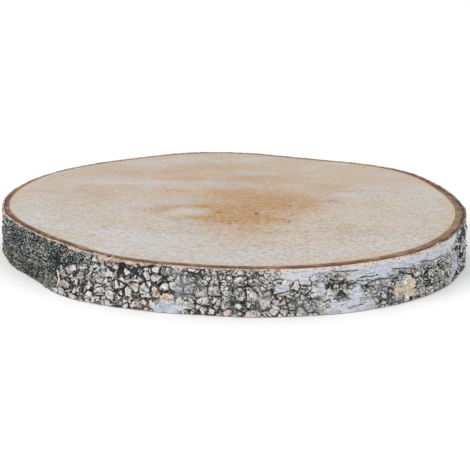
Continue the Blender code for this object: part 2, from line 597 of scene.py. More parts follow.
@dataclass(frozen=True)
class BarkPlates:
    """The plates that the bark has broken into, as its solid has them, and the crevices between."""

    length: float = 7.6 * MM
    height: float = 6.0 * MM
    seed: int = 11
    sink: float = 0.9 * MM
    crevice_depth: float = 1.9 * MM
    crevice_width: float = 3.0 * MM
    rim_share: float = 0.22
    rim_fade: float = 4.0 * MM
    warp: float = 2.8 * MM
    warp_length: float = 9.0 * MM
    swelling: float = 1.0 * MM
    swelling_length: float = 30.0 * MM
    smooth_share: float = 0.12

    def nearest(self, trunk: Trunk, angle: Array, height: Array) -> tuple[Array, Array, Array]:
        """Finds the plate at each place.

        Args:
            trunk: the trunk.
            angle: where round it, in radians.
            height: how far up it.

        Returns:
            The distance to the plate's border as a share of a plate, how sunken it is, and its own tone.
        """
        around = round(TURN * trunk.mean_radius / self.length)
        rows = math.ceil(trunk.thickness / self.height) + 4
        draw = np.random.default_rng(self.seed)
        middles = draw.uniform(0.1, 0.9, (around, rows, 2))
        sinks = draw.uniform(0.0, 1.0, (around, rows))
        tones = draw.uniform(0.0, 1.0, (around, rows))
        warp = self.warp * trunk.wander(angle, height, self.warp_length)
        along = (angle / TURN) % 1.0 * around + warp[:, 0] / self.length
        up = 2.0 + (height + warp[:, 1]) / self.height
        nearest = np.full_like(angle, np.inf)
        second = np.full_like(angle, np.inf)
        sink = np.zeros_like(angle)
        tone = np.zeros_like(angle)
        for column_step in (-1, 0, 1):
            for row_step in (-1, 0, 1):
                column = np.floor(along).astype(int) + column_step
                row = np.clip(np.floor(up).astype(int) + row_step, 0, rows - 1)
                middle = middles[column % around, row]
                distance = np.hypot(along - column - middle[:, 0], up - row - middle[:, 1])
                sink = np.where(distance < nearest, sinks[column % around, row], sink)
                tone = np.where(distance < nearest, tones[column % around, row], tone)
                second = np.minimum(second, np.maximum(nearest, distance))
                nearest = np.minimum(nearest, distance)
        return 0.5 * (second - nearest), sink, tone


@dataclass
class Loft:
    """A closed band round the trunk: rows of points that share their columns, each row joined to the next."""

    trunk: Trunk
    columns: int
    strips: int = 6
    rows: list[tuple[Array, Array]] = field(default_factory=list)
    weights: list[float] = field(default_factory=list)

    @property
    def angle(self) -> Array:
        """The columns' angles, in radians."""
        return TURN * np.arange(self.columns) / self.columns

    def add(self, radius: Array | float, height: Array | float, weight: float) -> None:
        """Adds a row, outwards over the top, down the side or back under the base.

        Args:
            radius: its points' radii.
            height: their heights.
            weight: the share of the bake's map from this row to the next.
        """
        self.rows.append((radius + np.zeros(self.columns), height + np.zeros(self.columns)))
        self.weights.append(weight)

    def build(self, name: str) -> bpy.types.Mesh:
        """Joins the rows, the last one to the first, and lays the band out on the bake's map in strips."""
        radius, height = (np.stack(part) for part in zip(*self.rows, strict=True))
        count = len(self.rows)
        points = self.trunk.place(np.broadcast_to(self.angle, radius.shape), radius, height)
        row, column = np.meshgrid(np.arange(count), np.arange(self.columns), indexing="ij")
        rows = np.stack([row, row + 1, row + 1, row], axis=-1)
        columns = np.stack([column, column, column + 1, column + 1], axis=-1)
        faces = (rows % count) * self.columns + columns % self.columns
        mesh = bpy.data.meshes.new(name)
        mesh.from_pydata(points.reshape(-1, 3).tolist(), [], faces.reshape(-1, 4).tolist())
        per_strip = self.columns // self.strips
        strip = np.repeat((column // per_strip)[..., None], 4, axis=-1)
        along = (columns - strip * per_strip) / per_strip
        reach = np.concatenate([[0.0], np.cumsum(self.weights)]) / sum(self.weights)
        across = 0.01 + 0.98 * reach[rows]
        layout = np.stack([0.002 + 0.996 * along, (strip + across) / self.strips], axis=-1)
        MeshMarks(mesh).lay_out(layout.reshape(-1, 2))
        mesh.polygons.foreach_set("use_smooth", np.ones(len(mesh.polygons), bool))
        return mesh


@dataclass(frozen=True)
class Stain:
    """A soft stain on the sawn wood: its middle and half sizes in metres, and its strength."""

    x: float
    y: float
    half_x: float
    half_y: float
    strength: float


@dataclass(frozen=True)
class WoodFinish:
    """Pale birch, sawn and lightly sanded, with a yellow-brown heart stain."""

    front: Color = paint(189, 182, 174)
    back: Color = paint(185, 169, 152)
    cool: Color = paint(191, 191, 192)
    warm: Color = paint(190, 170, 142)
    amber: Color = paint(172, 126, 68)
    ochre: Color = paint(172, 134, 74)
    pale: Color = paint(194, 184, 172)
    glow: Color = paint(196, 158, 106)
    dark: Color = paint(112, 78, 48)
    late_wood: Color = paint(214, 186, 150)
    grain: Color = paint(190, 172, 152)
    fuzz: Color = paint(208, 208, 208)
    ring_spacing: float = 2.3 * MM
    ambers: tuple[Stain, ...] = (
        Stain(0.012, 0.006, 0.036, 0.038, 0.62),
        Stain(0.004, 0.036, 0.024, 0.018, 0.35),
        Stain(0.040, 0.014, 0.028, 0.020, 0.40),
        Stain(0.061, 0.012, 0.012, 0.007, 0.35),
        Stain(0.020, -0.030, 0.028, 0.014, 0.40),
        Stain(0.000, -0.036, 0.030, 0.018, 0.55),
        Stain(0.004, -0.062, 0.030, 0.014, 0.36),
        Stain(-0.016, -0.016, 0.024, 0.024, 0.32),
        Stain(0.010, -0.004, 0.018, 0.014, 0.25),
        Stain(0.050, -0.006, 0.018, 0.014, 0.28),
        Stain(-0.036, 0.024, 0.030, 0.026, 0.16),
        Stain(-0.044, -0.005, 0.016, 0.012, 0.48),
        Stain(-0.044, -0.048, 0.018, 0.010, 0.16),
        Stain(0.004, -0.050, 0.026, 0.010, 0.16),
        Stain(-0.100, 0.016, 0.026, 0.016, 0.14),
        Stain(0.064, 0.044, 0.020, 0.012, 0.35),
        Stain(0.072, -0.060, 0.034, 0.014, 0.28),
        Stain(0.020, -0.088, 0.050, 0.014, 0.18),
        Stain(0.012, 0.062, 0.038, 0.012, 0.30),
        Stain(0.006, 0.080, 0.040, 0.022, 0.32),
        Stain(-0.030, 0.106, 0.040, 0.012, 0.26),
        Stain(-0.056, 0.090, 0.030, 0.012, 0.32),
        Stain(-0.080, 0.036, 0.044, 0.013, 0.44),
        Stain(-0.034, 0.071, 0.016, 0.006, 0.35),
        Stain(-0.038, 0.042, 0.012, 0.004, 0.35),
    )
    ochres: tuple[Stain, ...] = (
        Stain(-0.0094, -0.0120, 0.0055, 0.0070, 1.00),
        Stain(-0.0145, -0.0010, 0.0080, 0.0055, 0.75),
        Stain(-0.0200, 0.0050, 0.0070, 0.0050, 0.50),
        Stain(-0.0040, -0.0110, 0.0070, 0.0060, 0.55),
        Stain(-0.0130, -0.0235, 0.0100, 0.0060, 0.60),
        Stain(-0.0240, -0.0260, 0.0140, 0.0050, 0.45),
        Stain(-0.0427, -0.0050, 0.0070, 0.0055, 0.60),
        Stain(-0.0300, 0.0030, 0.0130, 0.0028, 0.50),
        Stain(0.0215, -0.0345, 0.0240, 0.0080, 0.35),
    )
    pales: tuple[Stain, ...] = (
        Stain(-0.0260, -0.0110, 0.0120, 0.0085, 0.75),
        Stain(-0.0360, -0.0130, 0.0080, 0.0070, 0.60),
        Stain(-0.060, 0.036, 0.022, 0.016, 0.50),
        Stain(0.075, -0.014, 0.024, 0.016, 0.35),
        Stain(-0.050, -0.074, 0.022, 0.018, 0.40),
        Stain(0.035, -0.079, 0.030, 0.012, 0.40),
    )
    cools: tuple[Stain, ...] = (
        Stain(-0.124, 0.000, 0.012, 0.034, 0.50),
        Stain(0.116, 0.020, 0.016, 0.044, 0.40),
        Stain(-0.068, 0.062, 0.050, 0.009, 0.55),
        Stain(-0.056, -0.080, 0.034, 0.014, 0.55),
        Stain(-0.044, -0.102, 0.022, 0.012, 0.40),
        Stain(0.010, -0.105, 0.034, 0.012, 0.40),
    )
    darks: tuple[Stain, ...] = (
        Stain(0.0144, -0.0165, 0.0018, 0.0032, 0.9),
        Stain(0.0362, 0.0018, 0.0013, 0.0022, 0.8),
        Stain(0.0346, -0.0350, 0.0012, 0.0022, 0.9),
        Stain(0.0363, -0.0200, 0.0009, 0.0020, 0.5),
        Stain(-0.0094, -0.0140, 0.0013, 0.0032, 0.6),
        Stain(-0.0070, -0.0370, 0.0009, 0.0018, 0.5),
        Stain(-0.0020, -0.0410, 0.0009, 0.0018, 0.5),
        Stain(0.0020, -0.0360, 0.0009, 0.0018, 0.5),
        Stain(0.0060, -0.0390, 0.0009, 0.0018, 0.5),
    )

    def spread(self, bench: FinishBench, place: Wire, stains: Sequence[Stain]) -> Wire:
        """The share of a group of stains at a place."""
        total: Wire | float = 0.0
        for stain in stains:
            away = bench.vector("SUBTRACT", place, (stain.x, stain.y, 0.0))
            scaled = bench.stretch(away, 1.0 / stain.half_x, 1.0 / stain.half_y, 0.0)
            distance = bench.vector("LENGTH", scaled).other("Value")
            total = bench.rise(distance, 1.5, 0.2) * stain.strength + total
        return bench.maths("MINIMUM", total, 1.0)

    def rings(self, bench: FinishBench, place: Wire) -> Wire:
        """Growth rings: 1 on the thin late wood, 0 on the wide early wood."""
        growth = bench.mark("growth") / self.ring_spacing
        wavy = growth + 0.9 * bench.cloud(place, 28.0, 3.0)
        uneven = wavy + 2.2 * bench.cloud(bench.node("ShaderNodeCombineXYZ", None, {"X": wavy}), 0.35, 1.0)
        late = uneven % 1.0
        return bench.rise(late, 0.55, 0.92) * bench.rise(late, 1.0, 0.93)

    def make(self) -> bpy.types.Material:
        """The material."""
        bench = FinishBench("sawn_birch")
        place = bench.place()
        axes = bench.axes(place)
        color = bench.blend(bench.rise(axes.other("Y"), -0.13, 0.12), self.front, self.back)
        blotch = bench.cloud(bench.stretch(place, 1.0, 2.2, 1.0), 21.0, 4.0, 0.6)
        streak = bench.cloud(bench.stretch(place, 1.0, 4.0, 1.0), 70.0, 4.0, 0.65)
        color = bench.blend(0.75 * bench.rise(blotch, 0.52, 0.36), color, self.cool)
        color = bench.blend(0.55 * bench.rise(blotch, 0.50, 0.68), color, self.warm)
        color = bench.blend(0.35 * bench.rise(streak, 0.50, 0.72), color, self.warm)
        color = bench.blend(0.35 * bench.rise(streak, 0.50, 0.30), color, self.cool)
        loose = bench.stray(bench.stray(place, 40.0, 0.020), 160.0, 0.006)
        near = bench.stray(place, 180.0, 0.004)
        color = bench.blend(self.spread(bench, loose, self.ambers) * (0.55 + 0.7 * streak), color, self.amber)
        color = bench.blend(self.spread(bench, near, self.ochres), color, self.ochre)
        color = bench.blend(self.spread(bench, near, self.pales), color, self.pale)
        color = bench.blend(self.spread(bench, loose, self.cools), color, self.cool)
        rings = self.rings(bench, place)
        color = bench.shade(0.16 * rings, color, self.late_wood)
        grain = bench.cloud(bench.stretch(place, 0.8, 1.0, 1.0), 520.0, 4.0, 0.8)
        rough = bench.rise(axes.other("Y"), 0.10, -0.10) * (0.4 + 0.9 * bench.cloud(place, 24.0, 2.0))
        color = bench.shade((0.20 + 0.50 * rough) * bench.rise(grain, 0.47, 0.66), color, self.grain)
        color = bench.blend((0.15 + 0.40 * rough) * bench.rise(grain, 0.52, 0.34), color, self.fuzz)
        seeds = bench.node("ShaderNodeTexVoronoi", {"feature": "F1"}, {"Vector": place, "Scale": 95.0})
        few = bench.axes(seeds.other("Color"))
        specks = bench.rise(seeds, 0.13, 0.05) * bench.rise(few, 0.62, 0.80)
        darks = bench.most(0.42 * specks, self.spread(bench, place, self.darks))
        color = bench.blend(darks, color, self.dark)
        edge = bench.rise(bench.mark("growth"), 0.1325, 0.1385) * bench.rise(axes, -0.06, 0.08)
        color = bench.blend(0.6 * edge * bench.cloud(place, 60.0), color, self.glow)
        saw = bench.cloud(bench.stretch(place, 1.0, 9.0, 1.0), 160.0, 3.0, 0.6)
        height = 0.5 * saw + 0.3 * grain - 0.25 * rings - 0.6 * darks
        return bench.close(color, 0.62 + 0.2 * grain, height, 0.12 * MM)


@dataclass
class SawnWood:
    """The wood inside the bark, sawn flat on both faces."""

    trunk: Trunk
    columns: int = 400
    loops: int = 84
    pith: tuple[float, float] = (-9.4 * MM, -12.5 * MM)
    saw_depth: float = 0.10 * MM
    seam_width: float = 0.005 * MM
    finish: WoodFinish = WoodFinish()

    def rims(self) -> bpy.types.Mesh:
        """The wood's outline as a loop of points for the top face, then one for the base, both laid flat."""
        trunk = self.trunk
        angle = TURN * np.arange(self.columns) / self.columns
        flat = np.zeros(self.columns)
        loops = [trunk.place(angle, trunk.wood(angle, height), flat) for height in (trunk.thickness, 0.0)]
        mesh = bpy.data.meshes.new("wood_rims")
        mesh.from_pydata(np.concatenate(loops).tolist(), [], [])
        return mesh

    def build(self) -> bpy.types.Object:
        """Spreads loops from the pith to the rim on both faces, and joins the faces by a wall."""
        bench = ShapeBench(
            "sawn_wood",
            {
                "Columns": self.columns,
                "Loops": self.loops,
                "Thickness": self.trunk.thickness,
                "Pith": (*self.pith, 0.0),
                "Radius": self.trunk.mean_radius - self.trunk.bark,
                "Saw Depth": self.saw_depth,
                "Finish": self.finish.make(),
            },
        )
        columns, loops, thickness = (bench.given(name) for name in ("Columns", "Loops", "Thickness"))
        index = bench.node("GeometryNodeInputIndex")
        step = bench.maths("FLOOR", index / (columns + 1.0))
        column = (index % (columns + 1.0)) % columns
        sample = {"Geometry": bench.given("Geometry"), "Value": bench.spot()}
        settings = {"data_type": "FLOAT_VECTOR", "domain": "POINT"}
        share = step / loops
        inside = bench.rise(share, 1.0, 0.99)
        parts = []
        for level, side in ((1.0, -1.0), (0.0, 1.0)):
            index = column + (1.0 - level) * columns
            rim = bench.node("GeometryNodeSampleIndex", settings, sample | {"Index": index})
            spread = {"Factor": share, "A": bench.given("Pith"), "B": rim}
            spot = bench.node("ShaderNodeMix", {"data_type": "VECTOR"}, spread)
            counts = {"Vertices X": loops + 1.0, "Vertices Y": columns + 1.0}
            sheet = bench.node("GeometryNodeMeshGrid", None, counts)
            cut_place = bench.vector("ADD", bench.stretch(spot, 1.0, 5.0, 1.0), (level, 0.0, 0.0))
            marks = bench.cloud(cut_place, 30.0, 2.0) * bench.given("Saw Depth") * inside
            height = thickness * level + side * marks
            sheet = bench.move(sheet, bench.vector("ADD", spot, bench.point(0.0, 0.0, height)))
            if side > 0.0:
                sheet = bench.node("GeometryNodeFlipFaces", None, {"Mesh": sheet})
            parts.append(bench.keep(sheet, "growth", share * bench.given("Radius")))
        wall = bench.node("GeometryNodeMeshGrid", None, {"Vertices X": 2, "Vertices Y": columns + 1.0})
        rim = bench.node("GeometryNodeSampleIndex", settings, sample | {"Index": column + step * columns})
        down = bench.vector("ADD", rim, bench.point(0.0, 0.0, thickness * (1.0 - step)))
        parts.append(bench.keep(bench.move(wall, down), "growth", bench.given("Radius")))
        joined = bench.node("GeometryNodeJoinGeometry", None, {"Geometry": parts})
        feeds = {"Geometry": joined, "Distance": self.seam_width}
        merged = bench.node("GeometryNodeMergeByDistance", None, feeds)
        mesh = bench.run(merged, self.rims(), "sawn_wood")
        self.lay_out(mesh)
        mesh.polygons.foreach_set("use_smooth", np.ones(len(mesh.polygons), bool))
        mesh.set_sharp_from_angle(angle=math.radians(40))
        return hand_over(mesh, Slot.SAPWOOD)

    def lay_out(self, mesh: bpy.types.Mesh) -> None:
        """Lays the top face large on the bake's map, the base smaller beside it, and the wall in a corner."""
        marks = MeshMarks(mesh)
        corners, faces = marks.corners(), marks.corner_faces()
        places = marks.points()[corners]
        facing = marks.face_normals()[faces, 2]
        reach = 1.01 * np.abs(places[:, :2]).max()
        disc = places[:, :2] / reach
        top_half, base_half = 0.358, 0.224
        is_top = (facing > 0.5)[:, None]
        layout = np.where(is_top, top_half * (1.0 + disc), 1.0 - base_half * (1.0 - disc))
        turn = np.arctan2(places[:, 1], places[:, 0]) / TURN + 0.5
        hidden = np.stack([0.76 + 0.2 * turn, 0.02 + places[:, 2] / self.trunk.thickness * 0.06], axis=1)
        is_wall = np.abs(facing) < 0.5
        layout[is_wall] = hidden[is_wall]
        marks.lay_out(layout)


@dataclass(frozen=True)
class Arc:
    """A stretch of the ring of inner bark: its middle and half length in degrees."""

    angle: float
    half_angle: float

    def share(self, angle: Array) -> Array:
        """1 in the middle of the stretch, 0 outside it."""
        turn = (np.degrees(angle) - self.angle + 180.0) % 360.0 - 180.0
        return smooth_step(1.6 - np.abs(turn) / self.half_angle)


@dataclass(frozen=True)
class InnerBarkFinish:
    """Corky brown layers: darkest past their middle, and pale at both edges of the ring."""

    layers: Stops = (
        (0.00, paint(180, 150, 122)),
        (0.08, paint(144, 114, 92)),
        (0.30, paint(124, 94, 76)),
        (0.52, paint(104, 74, 58)),
        (0.70, paint(96, 66, 50)),
        (0.82, paint(112, 76, 60)),
        (0.92, paint(150, 110, 90)),
        (1.00, paint(196, 160, 138)),
    )
    bleached: Color = paint(146, 124, 102)
    rusty: Color = paint(176, 112, 62)
    crumb: Color = paint(188, 158, 132)
    pit: Color = paint(70, 50, 40)
    seam: Color = paint(34, 20, 12)

    def make(self) -> bpy.types.Material:
        """The material."""
        bench = FinishBench("inner_bark")
        place = bench.place()
        across = bench.mark("across")
        waver = across + 0.5 * (bench.cloud(place, 170.0, 4.0, 0.6) - 0.5)
        color = bench.ramp(self.layers, waver)
        grit = bench.cloud(place, 620.0, 4.0, 0.7)
        color = bench.blend(0.7 * bench.mark("bleach") * bench.rise(grit, 0.35, 0.60), color, self.bleached)
        color = bench.blend(0.8 * bench.mark("rust"), color, self.rusty)
        patchy = bench.cloud(place, 95.0, 3.0, 0.6)
        color = bench.blend(0.45 * bench.rise(patchy, 0.54, 0.66), color, self.pit)
        color = bench.blend(0.40 * bench.rise(patchy, 0.46, 0.34), color, self.crumb)
        color = bench.blend(0.55 * bench.rise(grit, 0.56, 0.70), color, self.crumb)
        color = bench.blend(0.65 * bench.rise(grit, 0.44, 0.32), color, self.pit)
        dark = bench.rise(bench.maths("ABSOLUTE", waver - 0.80), 0.16, 0.06)
        sides = bench.rise(bench.axes(place).other("Y"), -0.138, -0.095)
        color = bench.blend(dark * (0.15 + 0.75 * sides) * bench.rise(grit, 0.64, 0.50), color, self.seam)
        return bench.close(color, 0.85, grit, 0.35 * MM)


@dataclass
class InnerBark:
    """The ring of brown bark between the wood and the outer bark, as the saw cut it."""

    trunk: Trunk
    columns: int = 1200
    steps: int = 9
    below_wood: float = 0.08 * MM
    tuck: float = 0.25 * MM
    past_wood: float = 0.3 * MM
    dip: float = 0.10 * MM
    grit: float = 0.16 * MM
    grit_length: float = 1.3 * MM
    grit_reach: float = 9.0 * MM
    wall: float = 4.9 * MM
    wall_height: float = 3.2 * MM
    finish: InnerBarkFinish = InnerBarkFinish()
    bleached: tuple[Arc, ...] = (Arc(345, 26), Arc(321, 11))
    rusty: tuple[Arc, ...] = (Arc(150, 12), Arc(52, 7))

    def build(self, lip: "OuterBark") -> bpy.types.Object:
        """Lofts the ring from the wood out under the outer bark's lip, down behind it and back."""
        loft = Loft(self.trunk, self.columns)
        angle = loft.angle
        thickness = self.trunk.thickness
        inner = {level: self.trunk.wood(angle, level * thickness) - self.past_wood for level in (1.0, 0.0)}
        outer = {level: lip.lip_radius(angle, level) + self.tuck for level in (1.0, 0.0)}
        across: list[Array] = []
        for level, order in ((1.0, range(self.steps)), (0.0, reversed(range(self.steps)))):
            if level == 0.0:
                for height in (thickness - self.wall_height, self.wall_height):
                    loft.add(self.trunk.outline(angle, height) - self.wall, height, 0.2)
                    across.append(np.ones(self.columns))
            for step in order:
                share = step / (self.steps - 1)
                sink = self.below_wood + (self.trunk.droop + self.dip) * share**2
                spot = np.full_like(angle, share * self.grit_reach + level)
                rough = self.grit * self.trunk.wander(angle, spot, self.grit_length)
                depth = sink + (np.abs(rough[:, 0]) if 0 < step < self.steps - 1 else 0.0)
                radius = inner[level] + share * (outer[level] - inner[level]) + 0.4 * rough[:, 1]
                loft.add(radius, thickness - depth if level else depth, 1.0)
                across.append(np.full(self.columns, share))
        mesh = loft.build("inner_bark")
        marks = MeshMarks(mesh)
        marks.write("across", np.stack(across))
        places = marks.points()
        turn = np.arctan2(places[:, 1], places[:, 0])
        for name, arcs in (("bleach", self.bleached), ("rust", self.rusty)):
            marks.write(name, np.maximum.reduce([arc.share(turn) for arc in arcs]))
        mesh.materials.append(self.finish.make())
        return hand_over(mesh, Slot.INNER_BARK)


@dataclass(frozen=True)
class BarkSigns:
    """What a place on the weathered bark is. The shape and the finish are both made from these signs.

    Each is a share from 0 to 1, apart from the layer, which counts the paper's layers.
    """

    gap: Wire
    edge: Wire
    chip: Wire
    sunk: Wire
    missing: Wire
    crumb: Wire
    crumb_gap: Wire
    paper: Wire
    layer: Wire
    line: Wire
    fleck: Wire
    mottle: Wire
    cut: Wire


@dataclass(frozen=True)
class Weathering:
    """How the bark's surface has broken: into chips with gaps, finer in places, and crumbs in between."""

    chip: float = 5.6 * MM
    fine_chip: float = 2.5 * MM
    crumb: float = 1.1 * MM
    narrow_gap: float = 0.03
    wide_gap: float = 0.17
    fine_gap: float = 0.08
    # Width of the pale band along each chip's rim, which the finish paints as a highlight, in cells.
    edge: float = 0.10
    missing: float = 0.90
    cut_low: float = 0.5 * MM
    cut_high: float = 2.9 * MM

    def cells(self, bench: Bench, place: Wire, size: float) -> tuple[Wire, Wire]:
        """Breaks a place into cells.

        Args:
            bench: where the nodes go.
            place: the place, already bent.
            size: a cell's size.

        Returns:
            The distance to the cell's border in cells, and three random numbers for each cell.
        """
        feeds = {"Vector": place, "Scale": 1.0 / size}
        border = bench.node("ShaderNodeTexVoronoi", {"feature": "DISTANCE_TO_EDGE"}, feeds)
        draw = bench.node("ShaderNodeTexVoronoi", {"feature": "F1"}, feeds, "Color")
        return border, bench.axes(draw)

    def read(self, bench: Bench) -> BarkSigns:
        """Works the signs out, from the marks on the bark's blank.

        Args:
            bench: where the nodes go.

        Returns:
            The signs.
        """
        rest = bench.mark_place("rest")
        mottle = bench.cloud(rest, 190.0, 3.0, 0.6)
        fleck = bench.cloud(rest, 720.0, 2.0, 0.5)
        torn = bench.stray(bench.stray(rest, 120.0, 4.5 * MM), 420.0, 1.6 * MM, 4.0)
        coarse_border, coarse = self.cells(bench, torn, self.chip)
        fine_border, fine = self.cells(bench, bench.stretch(torn, 0.8, 0.8, 1.2), self.fine_chip)
        crumb_border, crumb = self.cells(bench, bench.stray(torn, 900.0, 0.8 * MM), self.crumb)
        is_fine = bench.rise(bench.mark("fine") + 0.6 * (mottle - 0.5), 0.40, 0.50)
        border = bench.mix(is_fine, coarse_border, fine_border)
        chip = bench.mix(is_fine, coarse, fine)
        sunk = bench.mix(is_fine, coarse.other("Y"), fine.other("Y"))
        lot = bench.mix(is_fine, coarse.other("Z"), fine.other("Z"))
        dark = bench.mark("shade") - 0.5 * bench.mark("light")
        apart = bench.mark("apart")
        slack = bench.rise(bench.cloud(rest, 105.0, 2.0) + 0.03 * dark + 0.12 * apart, 0.43, 0.66)
        coarse_gap = self.narrow_gap + (self.wide_gap - self.narrow_gap) * slack
        width = bench.mix(is_fine, coarse_gap, self.fine_gap + 0.07 * slack)
        paper = bench.rise(bench.mark("paper") + 0.7 * (lot - 0.5) + 0.3 * (mottle - 0.5), 0.42, 0.52)
        whole = 1.0 - paper
        bare = sunk + 0.12 * dark + 0.5 * (mottle - 0.5) - 0.10 * is_fine + 0.02 * apart
        missing = bench.rise(bare, self.missing, self.missing + 0.05) * whole
        ragged = border + 0.24 * (fleck - 0.5)
        calm = (1.0 - 0.2 * bench.mark("grey")) * (1.0 - 0.25 * bench.mark("blue"))
        calm = calm * (1.0 - 0.5 * bench.rise(bench.mark("paper"), 0.02, 0.30))
        gap = bench.rise(ragged, width, 0.6 * width) * whole * calm
        # The band just inside each chip's rim, which the finish paints as a highlight.
        edge_end = width + self.edge
        edge = bench.rise(ragged, width, width + 0.03) * bench.rise(ragged, edge_end + 0.07, edge_end)
        layers = 8.0 * bench.cloud(bench.stretch(rest, 1.0, 1.0, 4.0), 55.0, 3.0)
        terrace = layers % 1.0
        line = bench.rise(terrace, 0.0, 0.04) * bench.rise(terrace, 0.16, 0.07)
        uneven = bench.rise(bench.cloud(rest, 150.0, 3.0, 0.6) + 0.25 * bench.mark("pink"), 0.34, 0.74)
        cut_width = (self.cut_low + (self.cut_high - self.cut_low) * uneven) * (1.0 - bench.mark("dull"))
        fray = 3.0 * MM * (fleck - 0.5) * (1.0 - 0.85 * paper) + 2.0 * MM * (mottle - 0.5)
        frayed = bench.mark("below_top") + fray
        cut = bench.rise(frayed, cut_width, 0.8 * cut_width)
        return BarkSigns(
            gap=bench.most(gap, bench.mark("slit")) * (1.0 - cut),
            edge=edge * whole,
            chip=chip,
            sunk=sunk,
            missing=missing * (1.0 - cut) * calm,
            crumb=crumb,
            crumb_gap=bench.rise(crumb_border, 0.12, 0.03),
            paper=paper,
            layer=bench.maths("FLOOR", layers),
            line=line,
            fleck=fleck,
            mottle=mottle,
            cut=cut,
        )


